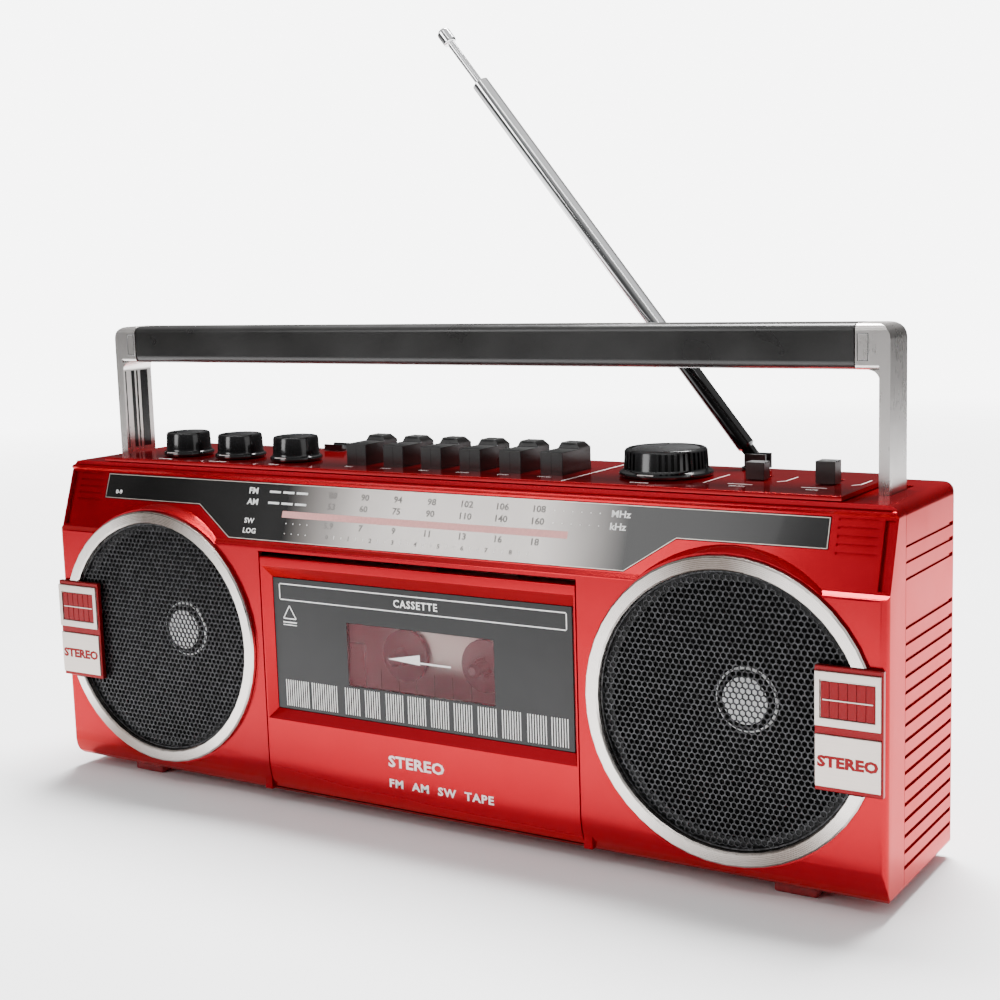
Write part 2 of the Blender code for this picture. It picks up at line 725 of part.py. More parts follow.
def speaker(side_name, side):
    x = side * SPEAKER_X
    front_y = FACE_Y - RING_PROUD
    depth = RING_BACK_Y - front_y
    back = FACE_INNER_Y - 0.0002 - front_y
    edge = 0.0007
    ring = [(RING_INNER + edge, 0.0), (RING_OUTER - edge, 0.0), (RING_OUTER, -edge), (RING_OUTER, -depth)]
    ring += [(COLLAR_OUTER, -depth), (COLLAR_OUTER, -back), (RING_INNER, -back), (RING_INNER, -edge)]
    ring = turned("speaker_ring_" + side_name, ring, (x, front_y, SPEAKER_Z), "Y", 48)
    badge = badge_limits(side, GAP)
    cut(ring, box("ring_notch_" + side_name, *badge))
    silver_trim(ring)

    grille = cylinder("speaker_grille_" + side_name, RING_INNER - GAP, GRILLE_THICK,
                      (x, GRILLE_Y + GRILLE_THICK / 2, SPEAKER_Z), "Y", 64)
    grille_metal(grille)

    inner = CONE_RADIUS + 0.0005
    basket = [(FRAME_RADIUS, 0.0), (FRAME_RADIUS, -0.0015), (inner + 0.0017, -0.0015), (inner + 0.0017, -0.0030)]
    basket += [(0.0300, -0.0220), (0.0300, -0.0240), (0.0145, -0.0240), (0.0145, -0.0228)]
    basket += [(0.0288, -0.0228), (inner, -0.0038), (inner, 0.0)]
    frame = turned("speaker_frame_" + side_name, basket, (x, FRAME_Y, SPEAKER_Z), "Y", 24)
    steel(frame)

    shape = [(0.0, -0.0126), (0.0065, -0.0132), (0.0123, -0.0150), (CONE_RADIUS - 0.0048, -0.0021)]
    shape += [(CONE_RADIUS - 0.0036, -0.0010), (CONE_RADIUS, -0.0010), (CONE_RADIUS, -0.0019)]
    shape += [(CONE_RADIUS - 0.0042, -0.0019), (0.0129, -0.0164), (0.0129, -0.0205), (0.0121, -0.0205)]
    shape += [(0.0121, -0.0160), (0.0065, -0.0141), (0.0, -0.0135)]
    cone = turned("speaker_cone_" + side_name, shape, (x, FRAME_Y, SPEAKER_Z), "Y", 24, closed=False)
    cone_paper(cone)

    start = FRAME_Y + 0.0240 + GAP
    magnet = cylinder("speaker_magnet_" + side_name, MAGNET_RADIUS, MAGNET_LENGTH,
                      (x, start + MAGNET_LENGTH / 2, SPEAKER_Z), "Y", 32)
    ferrite(magnet)


def badge_limits(side, grow):
    outer = HALF - 0.0005
    xs = mirrored((outer - BADGE_WIDTH - grow, outer + grow), side)
    return xs, (FACE_Y - BADGE_PROUD - grow, RING_BACK_Y + grow), (BADGE_BOTTOM - grow, BADGE_TOP + grow)


def badge(side_name, side):
    xs, ys, zs = badge_limits(side, 0.0)
    block = box("badge_" + side_name, xs, ys, zs)
    pocket_y = (ys[0] - 0.005, ys[0] + 0.0012)
    cut(block, many("badge_pockets_" + side_name, [
        ((xs[0] + 0.0022, xs[1] - 0.0022), pocket_y, (0.0755, 0.0915)),
        ((xs[0] - 0.01, xs[1] + 0.01), pocket_y, (0.0702, 0.0733)),
        ((xs[0] - 0.01, xs[1] + 0.01), pocket_y, (zs[1] - 0.0022, zs[1] + 0.01)),
        ((xs[0] - 0.01, xs[1] + 0.01), pocket_y, (zs[0] - 0.01, zs[0] + 0.0020))]))
    silver_trim(block)


def knob(name, x, y, flange, radius, top):
    height = top - ON_PLATE
    down = SHAFT_BOTTOM - ON_PLATE
    shape = [(0.0, height), (radius - 0.0012, height), (radius - 0.0004, height - 0.0004)]
    shape += [(radius, height - 0.0012), (radius, 0.0026), (flange - 0.0006, 0.0020), (flange, 0.0012)]
    shape += [(flange, 0.0), (SHAFT_RADIUS, 0.0), (SHAFT_RADIUS, down), (0.0, down)]
    made = turned(name, shape, (x, y, ON_PLATE), "Z", 30, closed=False)
    notch = box(name + "_notch", (x - 0.0020, x + 0.0020), (y - radius - 0.001, y - radius * 0.55),
                (top - 0.0008, top + 0.01))
    cut(made, notch)
    black_plastic(made)


def key(index, name):
    x = key_x(index)
    shape = [(KEY_FRONT_Y, KEY_BOTTOM), (KEY_REAR_Y, KEY_BOTTOM), (KEY_REAR_Y, ON_PLATE + 0.0010)]
    shape += [(KEY_REAR_Y - 0.0018, KEY_TOP - 0.0006), (KEY_REAR_Y - 0.0026, KEY_TOP)]
    shape += [(KEY_STEP_Y + 0.0010, KEY_TOP), (KEY_STEP_Y, KEY_TOP - 0.0008), (KEY_STEP_Y, KEY_FRONT_TOP + 0.0004)]
    shape += [(KEY_FRONT_Y + 0.0006, KEY_FRONT_TOP), (KEY_FRONT_Y, KEY_FRONT_TOP - 0.0006)]
    body = across(name, shape, (x - KEY_WIDTH / 2, x + KEY_WIDTH / 2))
    groove = box(name + "_groove", (x - 0.00025, x + 0.00025), (KEY_FRONT_Y - 0.01, KEY_FRONT_Y + 0.0003),
                 (ON_PLATE + 0.0005, KEY_TOP))
    cut(body, groove)
    key_plastic(body)


def key_guide():
    last = key_x(len(KEY_NAMES) - 1)
    zs = (GUIDE_BOTTOM, GUIDE_BOTTOM + GUIDE_THICK)
    plate = box("key_guide", (KEY_FIRST_X - 0.012, last + 0.012), (KEY_FRONT_Y - 0.0045, KEY_REAR_Y + 0.0045), zs)
    blocks = []
    for index in range(len(KEY_NAMES)):
        half = KEY_WIDTH / 2 + FIT
        blocks.append(((key_x(index) - half, key_x(index) + half), (KEY_FRONT_Y - FIT, KEY_REAR_Y + FIT),
                       (zs[0] - 0.01, zs[1] + 0.01)))
    cut(plate, many("guide_slots", blocks))
    steel(plate)


def switch(name, x, front_y, length, top):
    cap = box(name, (x - 0.0040, x + 0.0040), (front_y, front_y + length), (ON_PLATE, top))
    ridges = []
    for row in range(3):
        y = front_y + length * (0.25 + 0.25 * row)
        ridges.append(((x - 0.01, x + 0.01), (y - 0.0003, y + 0.0003), (top - 0.0005, top + 0.01)))
    stem = box(name + "_stem", (x - SWITCH_STEM / 2, x + SWITCH_STEM / 2), (front_y + 0.0010, front_y + length - 0.0010),
               (PLATE_BOTTOM - 0.0040, ON_PLATE + 0.0020))
    fuse(cap, stem)
    cut(cap, many(name + "_ridges", ridges))
    black_plastic(cap)


def handle_arm(side_name, side):
    name = "handle_arm_" + side_name
    inner = CAP_INNER_X
    blade = rounded_rectangle((ARM_FRONT_Y, ARM_REAR_Y), (ARM_FOOT_Z, HANDLE_TOP), 0.0080, 0.0030, 5)
    arm = across(name, blade, mirrored((ARM_INNER_X, ARM_OUTER_X), side))
    cap_profile = rounded_rectangle((ARM_FRONT_Y, ARM_REAR_Y), (GRIP_BOTTOM, HANDLE_TOP), 0.0020, 0.0030, 5)
    cap = across("cap_" + side_name, cap_profile, mirrored((inner, ARM_OUTER_X - 0.0004), side))
    fuse(arm, cap)
    corner = rounded_rectangle((-ARM_OUTER_X, ARM_OUTER_X), (0.10, HANDLE_TOP), 0.0005, 0.0060, 5)
    keep_inside(arm, through("arm_corner_" + side_name, corner, (ARM_FRONT_Y - 0.01, ARM_REAR_Y + 0.01)))
    pin = cylinder("pivot_pin_" + side_name, PIVOT_RADIUS, 0.0080,
                   (side * (ARM_OUTER_X + 0.0020), PIVOT_Y, PIVOT_Z), "X", 24)
    fuse(arm, pin)
    middle_y = (ARM_FRONT_Y + ARM_REAR_Y) / 2
    middle_z = (GRIP_BOTTOM + HANDLE_TOP) / 2
    reach = TENON_SIDE + GAP
    socket = box("socket_" + side_name, mirrored((inner - 0.002, inner + TENON + GAP), side),
                 (middle_y - reach, middle_y + reach), (middle_z - reach, middle_z + reach))
    cut(arm, socket)
    arm = as_mesh(arm)
    chrome(arm)


def handle_grip():
    half = CAP_INNER_X - GAP
    shape = rounded_rectangle((ARM_FRONT_Y, ARM_REAR_Y), (GRIP_BOTTOM, HANDLE_TOP), 0.0035, 0.0030, 5)
    grip = across("handle_grip", shape, (-half, half))
    middle_y = (ARM_FRONT_Y + ARM_REAR_Y) / 2
    middle_z = (GRIP_BOTTOM + HANDLE_TOP) / 2
    tenon = box("grip_tenon", (-half - TENON + GAP, half + TENON - GAP),
                (middle_y - TENON_SIDE, middle_y + TENON_SIDE), (middle_z - TENON_SIDE, middle_z + TENON_SIDE))
    fuse(grip, tenon)
    black_plastic(grip)


def aerial():
    pivot = (AERIAL_X, AERIAL_Y, AERIAL_Z)
    cheek_in = LUG_HALF + GAP
    cheek_out = cheek_in + CHEEK
    base = cylinder("antenna_base", 0.0056, 0.0008, (AERIAL_X, AERIAL_Y, ON_PLATE + 0.0004), "Z", 32)
    fuse(base, cylinder("aerial_stem", 0.0035, 0.0080, (AERIAL_X, AERIAL_Y, ON_PLATE - 0.0030), "Z", 24))
    for label, sign in (("front", -1), ("rear", 1)):
        ys = (AERIAL_Y + cheek_in, AERIAL_Y + cheek_out)
        if sign < 0:
            ys = (AERIAL_Y - cheek_out, AERIAL_Y - cheek_in)
        xs = (AERIAL_X - 0.0034, AERIAL_X + 0.0060)
        block = box("cheek_" + label, xs, ys, (ON_PLATE + 0.0002, AERIAL_Z + 0.0022))
        fuse(base, block)
    fuse(base, cylinder("aerial_pin", 0.0010, 2 * cheek_in + CHEEK, pivot, "Y", 20))
    black_plastic(base)

    turn = (0.0, -AERIAL_LEAN, 0.0)
    bore = TUBE_RADIUS - TUBE_WALL
    shape = [(TUBE_RADIUS, TUBE_LENGTH), (TUBE_RADIUS, 0.0065), (0.0020, 0.0050), (0.0020, 0.0068)]
    shape += [(bore, 0.0080), (bore, TUBE_LENGTH)]
    tube = turned("antenna_tube", shape, pivot, "Z", 20)
    lug = box("aerial_lug", (-0.0022, 0.0022), (-LUG_HALF, LUG_HALF), (0.0, 0.0058))
    eye = cylinder("aerial_eye", 0.0023, 2 * LUG_HALF, (0.0, 0.0, 0.0), "Y", 24)
    pin_hole = cylinder("aerial_pin_hole", 0.0010 + GAP, 0.02, (0.0, 0.0, 0.0), "Y", 20)
    for piece in (lug, eye, pin_hole):
        piece.parent = tube
    fuse(tube, lug, eye)
    cut(tube, pin_hole)
    tube.rotation_euler = turn
    chrome(tube)

    radius = TUBE_RADIUS
    for index, name in enumerate(("antenna_section_2", "antenna_section_3")):
        radius -= TUBE_STEP
        bore = radius - TUBE_WALL
        low = 0.0120 + 0.0020 * index
        high = TUBE_LENGTH - 0.0006 * (index + 1)
        shape = [(radius, high), (radius, low), (bore, low), (bore, high)]
        section = turned(name, shape, pivot, "Z", 16)
        section.rotation_euler = turn
        chrome(section)

    end = TUBE_LENGTH + ROD_OUT
    shape = [(0.0, end + TIP_LENGTH), (TIP_RADIUS - 0.0012, end + TIP_LENGTH), (TIP_RADIUS, end + TIP_LENGTH - 0.0012)]
    shape += [(TIP_RADIUS, end + 0.0006), (TIP_RADIUS - 0.0006, end), (ROD_RADIUS, end)]
    shape += [(ROD_RADIUS, 0.0380), (0.0, 0.0380)]
    rod = turned("antenna_rod", shape, pivot, "Z", 16, closed=False)
    rod.rotation_euler = turn
    chrome(rod)

    clip = box("antenna_clip", CLIP_X, (AERIAL_Y - 0.0044, AERIAL_Y + 0.0044), (ON_PLATE, CLIP_TOP))
    cut(clip, cylinder("clip_groove", TIP_RADIUS + 0.0005, 0.03,
                       ((CLIP_X[0] + CLIP_X[1]) / 2, AERIAL_Y, AERIAL_Z), "X", 32))
    black_plastic(clip)


def cassette_door():
    back_y = FACE_Y + DOOR_THICK
    shape = [(back_y, DOOR_BOTTOM), (back_y, DOOR_TOP)]
    shape += arc((FACE_Y + 0.0008, DOOR_TOP - 0.0008), (0.0008, 0.0008), 90, 180, 3)
    shape += [point for point in chin(FACE_Y, 0.0, 10) if point[1] > DOOR_BOTTOM + 0.0002]
    centre = (FACE_Y + CHIN_DEPTH, CHIN_TOP)
    reach = math.sqrt(1 - ((CHIN_TOP - DOOR_BOTTOM) / CHIN_HEIGHT) ** 2) * CHIN_DEPTH
    shape.append((centre[0] - reach, DOOR_BOTTOM))
    door = across("cassette_door", shape, (-DOOR_HALF, DOOR_HALF))
    funnel = bmesh.new()
    outer = (DOOR_HALF - 0.0006, LIP_Z, DOOR_TOP - BEVEL_EDGE)
    inner = (LENS_HALF + GAP, LENS_BOTTOM - GAP, LENS_TOP + GAP)
    mouth_y = FACE_Y - 0.0001
    rings = []
    for (half, low, high), y in ((outer, mouth_y), (inner, LENS_Y)):
        rings.append([funnel.verts.new(co) for co in ((-half, y, low), (half, y, low), (half, y, high), (-half, y, high))])
    funnel.faces.new(rings[0])
    funnel.faces.new(list(reversed(rings[1])))
    for corner in range(4):
        after = (corner + 1) % 4
        funnel.faces.new((rings[0][after], rings[0][corner], rings[1][corner], rings[1][after]))
    bmesh.ops.recalc_face_normals(funnel, faces=funnel.faces)
    mesh = bpy.data.meshes.new("door_funnel")
    funnel.to_mesh(mesh)
    funnel.free()
    cut(door, link("door_funnel", mesh))
    cut(door, box("lens_seat", (-inner[0], inner[0]), (LENS_Y - 0.0002, LENS_Y + DOOR_LENS_THICK + GAP), (inner[1], inner[2])))
    cut(door, box("window_hole", (-WINDOW_HALF, WINDOW_HALF), (FACE_Y, back_y + 0.01), (WINDOW_BOTTOM, WINDOW_TOP)))
    for side_name, side in SIDES:
        pin = cylinder("door_pin_" + side_name, HINGE_PIN, 0.0060,
                       (side * DOOR_HALF, DOOR_HINGE_Y, DOOR_HINGE_Z), "X", 20)
        fuse(door, pin)
    red_plastic(door)
    lens = box("door_lens", (-LENS_HALF, LENS_HALF), (LENS_Y, LENS_Y + DOOR_LENS_THICK), (LENS_BOTTOM, LENS_TOP))
    smoked_lens(lens)


def cassette_holder():
    # A shelf and two cheeks behind the door, with lips that keep the cassette in.
    front = FACE_Y + DOOR_THICK + GAP
    back = CASSETTE_FRONT_Y + CASSETTE_THICK + 0.0005 + HOLDER_WALL
    half = CASSETTE_WIDTH / 2 + 0.0008
    outer = half + HOLDER_WALL
    floor = CASSETTE_BOTTOM - 0.0005
    block = box("cassette_holder", (-outer, outer), (front, back), (floor - HOLDER_WALL, HOLDER_TOP))
    cut(block, box("holder_space", (-half, half), (front + HOLDER_WALL, back - HOLDER_WALL), (floor, HOLDER_TOP + 0.01)))
    cut(block, box("holder_window", (-half + 0.0100, half - 0.0100), (front - 0.01, back + 0.01), (floor + 0.0060, HOLDER_TOP + 0.01)))
    black_plastic(block)


def reel(name, x):
    back_y = DECK_Y - GAP
    disc = 0.0022
    shape = [(0.0, back_y - SPINDLE_TIP_Y), (SPINDLE_RADIUS - 0.0014, back_y - SPINDLE_TIP_Y)]
    shape += [(SPINDLE_RADIUS, back_y - SPINDLE_TIP_Y - 0.0016), (SPINDLE_RADIUS, disc + 0.0010)]
    shape += [(0.0060, disc), (REEL_RADIUS, disc), (REEL_RADIUS, 0.0), (0.0012, 0.0), (0.0012, -0.0040), (0.0, -0.0040)]
    made = turned(name, shape, (x, back_y, HUB_Z), "Y", 20, closed=False)
    lugs = []
    low_y = SPINDLE_TIP_Y + 0.0030
    for turn in range(3):
        lug = box("%s_lug_%d" % (name, turn), (-0.0006, 0.0006), (low_y, back_y - disc), (0.0020, 0.0044), origin=(0.0, low_y, 0.0))
        lug.location = (x, low_y, HUB_Z)
        lug.rotation_euler = (0.0, math.radians(120 * turn), 0.0)
        lugs.append(lug)
    fuse(made, *lugs)
    black_plastic(made)


def deck():
    chassis = box("deck_chassis", (-DECK_HALF, DECK_HALF), (DECK_Y, DECK_BACK_Y), (DECK_BOTTOM, DECK_TOP))
    holes = [(-HUB_SPACING / 2, HUB_Z, 0.0012), (HUB_SPACING / 2, HUB_Z, 0.0012), (CAPSTAN_X, CAPSTAN_Z, CAPSTAN_RADIUS)]
    for index, (x, z, radius) in enumerate(holes):
        cut(chassis, cylinder("deck_hole_%d" % index, radius + FIT, 0.01, (x, DECK_Y, z), "Y", 20))
    steel(chassis)

    shape = [(0.0, 0.0175), (CAPSTAN_RADIUS, 0.0175), (CAPSTAN_RADIUS, 0.0), (FLYWHEEL_RADIUS, 0.0)]
    shape += [(FLYWHEEL_RADIUS, -FLYWHEEL_THICK), (0.0, -FLYWHEEL_THICK)]
    wheel = turned("capstan_flywheel", shape, (CAPSTAN_X, DECK_BACK_Y + 0.0005, CAPSTAN_Z), "Y", 40, closed=False)
    steel(wheel)

    roller_z = CAPSTAN_Z + CAPSTAN_RADIUS + ROLLER_RADIUS + GAP + HEAD_TRAVEL
    roller_ys = (DECK_Y - 0.0125, DECK_Y - 0.0045)
    bridge_ys = (DECK_Y - 0.0030, DECK_Y - 0.0005)
    bridge_z = (roller_z + ROLLER_RADIUS + 0.0012, roller_z + ROLLER_RADIUS + 0.0110)
    bridge = box("head_bridge", (-0.0400, 0.0400), bridge_ys, bridge_z)
    fuse(bridge, box("tape_head", (-0.0065, 0.0065), (DECK_Y - 0.0145, bridge_ys[0] + 0.0010), (bridge_z[0] - 0.0110, bridge_z[0] + 0.0060)))
    fuse(bridge, box("roller_arm", (CAPSTAN_X - 0.0030, CAPSTAN_X + 0.0030), bridge_ys, (roller_z - 0.0030, bridge_z[0] + 0.0020)))
    fuse(bridge, cylinder("roller_axle", 0.0010, 0.0120, (CAPSTAN_X, (roller_ys[0] + bridge_ys[0]) / 2, roller_z), "Y", 20))
    steel(bridge)
    bore = 0.0010 + GAP
    length = roller_ys[1] - roller_ys[0]
    shape = [(ROLLER_RADIUS, length), (ROLLER_RADIUS, 0.0), (bore, 0.0), (bore, length)]
    rubber(turned("pinch_roller", shape, (CAPSTAN_X, roller_ys[1], roller_z), "Y", 28))

    motor = cylinder("deck_motor", MOTOR_RADIUS, MOTOR_LENGTH,
                     (MOTOR_X, DECK_BACK_Y + GAP + MOTOR_LENGTH / 2, MOTOR_Z), "Y", 32)
    steel(motor)

    for name, side in (("takeup_reel", -1), ("supply_reel", 1)):
        reel(name, side * HUB_SPACING / 2)


def power():
    ys = (BATTERY_Y, REAR_Y - WALL - GAP)
    tray = box("battery_box", (-BATTERY_HALF, BATTERY_HALF), ys, (BATTERY_BOTTOM, BATTERY_TOP))
    cut(tray, box("battery_space", (-BATTERY_HALF + BATTERY_WALL, BATTERY_HALF - BATTERY_WALL),
                  (ys[0] + BATTERY_WALL, ys[1] + 0.01), (BATTERY_BOTTOM + BATTERY_WALL, BATTERY_TOP - BATTERY_WALL)))
    black_plastic(tray)

    door_ys = (REAR_Y - BATTERY_DOOR_THICK, REAR_Y)
    origin = (0.0, REAR_Y - 0.0010, BATTERY_DOOR_BOTTOM + 0.0012)
    lid = box("battery_door", (-BATTERY_DOOR_HALF, BATTERY_DOOR_HALF), door_ys, (BATTERY_DOOR_BOTTOM, BATTERY_DOOR_TOP), origin)
    red_plastic(lid)

    half_x = INLET_SIZE[0] / 2
    half_z = INLET_SIZE[1] / 2
    inlet = box("mains_inlet", (INLET_X - half_x, INLET_X + half_x), (REAR_Y - 0.0130, REAR_Y - 0.0002), (INLET_Z - half_z, INLET_Z + half_z))
    cut(inlet, box("inlet_pocket", (INLET_X - INLET_POCKET[0] / 2, INLET_X + INLET_POCKET[0] / 2),
                   (REAR_Y - INLET_DEPTH, REAR_Y + 0.01), (INLET_Z - INLET_POCKET[1] / 2, INLET_Z + INLET_POCKET[1] / 2)))
    for label, side in SIDES:
        fuse(inlet, cylinder("inlet_pin_" + label, 0.0012, 0.0080, (INLET_X + side * 0.0043, REAR_Y - INLET_DEPTH + 0.0020, INLET_Z), "Y", 16))
    black_plastic(inlet)

    size = TRANSFORMER_SIZE
    floor = UNDERSIDE_Z + WALL + GAP
    coil = box("power_transformer", (INLET_X - size[0] / 2, INLET_X + size[0] / 2),
               (REAR_Y - 0.0145 - size[1], REAR_Y - 0.0145), (floor, floor + size[2]))
    ferrite(coil)

    board = box("circuit_board", (-0.0850, 0.0850), (BOARD_Y, BOARD_Y + BOARD_THICK), (BATTERY_TOP + 0.0060, DECK_TOP - 0.0030))
    board_green(board)


def feet():
    for row, y in (("front", FRONT_FOOT_Y), ("rear", REAR_FOOT_Y)):
        for side_name, side in SIDES:
            x = side * FOOT_X
            block = box("foot_%s_%s" % (row, side_name), (x - FOOT_SIZE[0] / 2, x + FOOT_SIZE[0] / 2),
                        (y, y + FOOT_SIZE[1]), (0.0, UNDERSIDE_Z - GAP))
            rubber(bevel(block, 0.0012, 2))


def build():
    clear_scene()
    collection(PARTS)
    collection(CUTTERS)
    front_cabinet()
    rear_cabinet()
    top_plate()
    dial()
    for side_name, side in SIDES:
        speaker(side_name, side)
        badge(side_name, side)
        handle_arm(side_name, side)
    handle_grip()
    aerial()
    knob("volume_knob", KNOB_X[0], KNOB_Y, KNOB_FLANGE, KNOB_RADIUS, KNOB_TOP)
    knob("balance_knob", KNOB_X[1], KNOB_Y, KNOB_FLANGE, KNOB_RADIUS, KNOB_TOP)
    knob("tone_knob", KNOB_X[2], KNOB_Y, KNOB_FLANGE, KNOB_RADIUS, KNOB_TOP)
    knob("tuning_knob", TUNING_X, TUNING_Y, TUNING_FLANGE, TUNING_RADIUS, KNOB_TOP)
    for index, name in enumerate(KEY_NAMES):
        key(index, name)
    key_guide()
    for name, x, front_y, length, top in SWITCHES:
        switch(name, x, front_y, length, top)
    cassette_door()
    cassette_holder()
    deck()
    power()
    feet()


build()
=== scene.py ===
import math
import bpy
from mathutils import Matrix, Vector


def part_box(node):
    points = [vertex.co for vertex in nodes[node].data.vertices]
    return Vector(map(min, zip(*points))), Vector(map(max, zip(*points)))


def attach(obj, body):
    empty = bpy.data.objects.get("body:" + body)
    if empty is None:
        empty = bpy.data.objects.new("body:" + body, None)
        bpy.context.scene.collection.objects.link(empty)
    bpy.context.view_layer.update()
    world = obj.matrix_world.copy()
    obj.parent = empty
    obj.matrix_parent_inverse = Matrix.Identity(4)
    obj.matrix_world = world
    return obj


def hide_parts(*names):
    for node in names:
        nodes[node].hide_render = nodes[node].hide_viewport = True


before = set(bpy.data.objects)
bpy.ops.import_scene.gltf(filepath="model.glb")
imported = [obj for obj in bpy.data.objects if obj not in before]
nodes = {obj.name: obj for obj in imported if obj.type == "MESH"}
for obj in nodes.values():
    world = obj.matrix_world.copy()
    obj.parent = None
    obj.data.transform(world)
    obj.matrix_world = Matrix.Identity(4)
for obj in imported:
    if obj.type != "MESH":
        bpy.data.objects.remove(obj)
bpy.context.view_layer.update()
mm = 0.001
weld = 0.004 * mm
upright = (math.pi / 2, 0, 0)


def deselectAll():
    if bpy.context.object and bpy.context.object.mode != "OBJECT":
        leaveEditing()
    bpy.ops.object.select_all(action="DESELECT")


def pick(thing):
    deselectAll()
    thing.select_set(True)
    bpy.context.view_layer.objects.active = thing
    return thing


def leaveEditing():
    bpy.ops.object.mode_set(mode="OBJECT")


def editing(thing, mode="FACE"):
    pick(thing)
    bpy.ops.object.mode_set(mode="EDIT")
    bpy.ops.mesh.select_mode(type=mode)
    bpy.ops.mesh.select_all(action="DESELECT")


def selectAll():
    bpy.ops.mesh.select_all(action="SELECT")


def merged(distance):
    selectAll()
    bpy.ops.mesh.remove_doubles(threshold=distance)


def facedOutward():
    bpy.ops.mesh.normals_make_consistent(inside=False)
    leaveEditing()


def selected(thing, kind, test):
    # only the faces or edges that pass the test stay selected, and edit mode goes on with them
    leaveEditing()
    mesh = thing.data
    for group in (mesh.polygons, mesh.edges, mesh.vertices):
        for item in group:
            item.select = False
    for item in mesh.polygons if kind == "FACE" else mesh.edges:
        if test(item):
            item.select = True
            for index in item.vertices:
                mesh.vertices[index].select = True
    bpy.ops.object.mode_set(mode="EDIT")
    bpy.ops.mesh.select_mode(type=kind)


def selectFaces(thing, test):
    selected(thing, "FACE", lambda face: test(face.center, face.normal))


def selectEdges(thing, test):
    selected(thing, "EDGE", lambda edge: all(test(thing.data.vertices[index].co) for index in edge.vertices))


def applied(thing):
    pick(thing)
    bpy.ops.object.transform_apply(location=True, rotation=True, scale=True)
    return thing


def placed(thing, location=(0, 0, 0), rotation=(0, 0, 0)):
    thing.rotation_euler = rotation
    thing.location = location
    return applied(thing)


def discard(*things):
    for thing in things:
        bpy.data.objects.remove(thing, do_unlink=True)


def withModifier(thing, kind, **settings):
    pick(thing)
    change = thing.modifiers.new(kind.title(), kind)
    for name, value in settings.items():
        setattr(change, name, value)
    bpy.ops.object.modifier_apply(modifier=change.name)
    return thing


def carved(thing, cutter):
    withModifier(thing, "BOOLEAN", operation="DIFFERENCE", solver="EXACT", object=cutter)
    discard(cutter)
    return thing


def softened(thing, width, segments=2, angle=32.0):
    if width > 0:
        withModifier(thing, "BEVEL", width=width, segments=segments, limit_method="ANGLE",
                     angle_limit=math.radians(angle), miter_outer="MITER_ARC", use_clamp_overlap=True,
                     harden_normals=False)
    pick(thing)
    bpy.ops.object.shade_smooth_by_angle(angle=math.radians(34 if width == 0 else 60))
    if width > 0:
        withModifier(thing, "WEIGHTED_NORMAL", weight=60, keep_sharp=True)
    return thing


def block(low, high):
    deselectAll()
    middle = [(a + b) / 2 for a, b in zip(low, high)]
    size = [b - a for a, b in zip(low, high)]
    bpy.ops.mesh.primitive_cube_add(size=1, location=middle, scale=size)
    return applied(bpy.context.object)


def cylinder(radius, length, steps, middle):
    # a rod that lies front to back
    deselectAll()
    bpy.ops.mesh.primitive_cylinder_add(vertices=steps, radius=radius, depth=length, rotation=upright,
                                        location=middle)
    return applied(bpy.context.object)


def stroke(start, end, width, low, high, extra=0.0):
    # a flat bar along the line from start to end in the XY plane
    run = (end[0] - start[0], end[1] - start[1])
    length = math.hypot(*run) + extra
    line = block((-length / 2, -width / 2, low), (length / 2, width / 2, high))
    middle = ((start[0] + end[0]) / 2, (start[1] + end[1]) / 2, 0)
    return placed(line, middle, (0, 0, math.atan2(run[1], run[0])))


def recessed(thing, edge, depth, squash=1.0):
    # the front face is inset, made lower, and pressed in
    editing(thing)
    selectFaces(thing, lambda middle, normal: normal.y < -0.9)
    bpy.ops.mesh.inset(thickness=edge)
    bpy.ops.transform.resize(value=(1, 1, squash))
    bpy.ops.mesh.extrude_region_move(TRANSFORM_OT_translate={"value": (0, depth, 0)})
    leaveEditing()


def joined(things):
    deselectAll()
    for thing in things:
        thing.select_set(True)
    bpy.context.view_layer.objects.active = things[0]
    bpy.ops.object.join()
    return bpy.context.object


def copied(thing, offset=(0, 0, 0)):
    made = thing.copy()
    made.data = thing.data.copy()
    bpy.context.collection.objects.link(made)
    made.data.transform(Matrix.Translation(offset))
    return made


def spun(profile, steps, closed=False):
    # one point is drawn out into a profile, then spun about Z
    deselectAll()
    bpy.ops.mesh.primitive_plane_add(size=mm)
    made = bpy.context.object
    editing(made, "VERT")
    selectAll()
    bpy.ops.mesh.merge(type="CENTER")
    bpy.ops.transform.translate(value=(profile[0][0], 0, profile[0][1]))
    track = list(profile) + ([profile[0]] if closed else [])
    for last, point in zip(track, track[1:]):
        step = (point[0] - last[0], 0, point[1] - last[1])
        bpy.ops.mesh.extrude_vertices_move(TRANSFORM_OT_translate={"value": step})
    merged(weld)
    bpy.ops.mesh.spin(steps=steps, angle=2 * math.pi, center=(0, 0, 0), axis=(0, 0, 1))
    merged(weld)
    facedOutward()
    return made


def lengths(**values):
    # settings given in millimetres, turned into metres
    def converted(value):
        return tuple(converted(part) for part in value) if isinstance(value, tuple) else value * mm
    return {name: converted(value) for name, value in values.items()}


def finished(thing, name, body, slotName, finish, replaced=()):
    pick(thing)
    thing.name = name
    thing.data.materials.clear()
    for one in finish if isinstance(finish, (list, tuple)) else [finish]:
        thing.data.materials.append(one.material)
    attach(thing, body)
    if replaced:
        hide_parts(*replaced)
    return thing


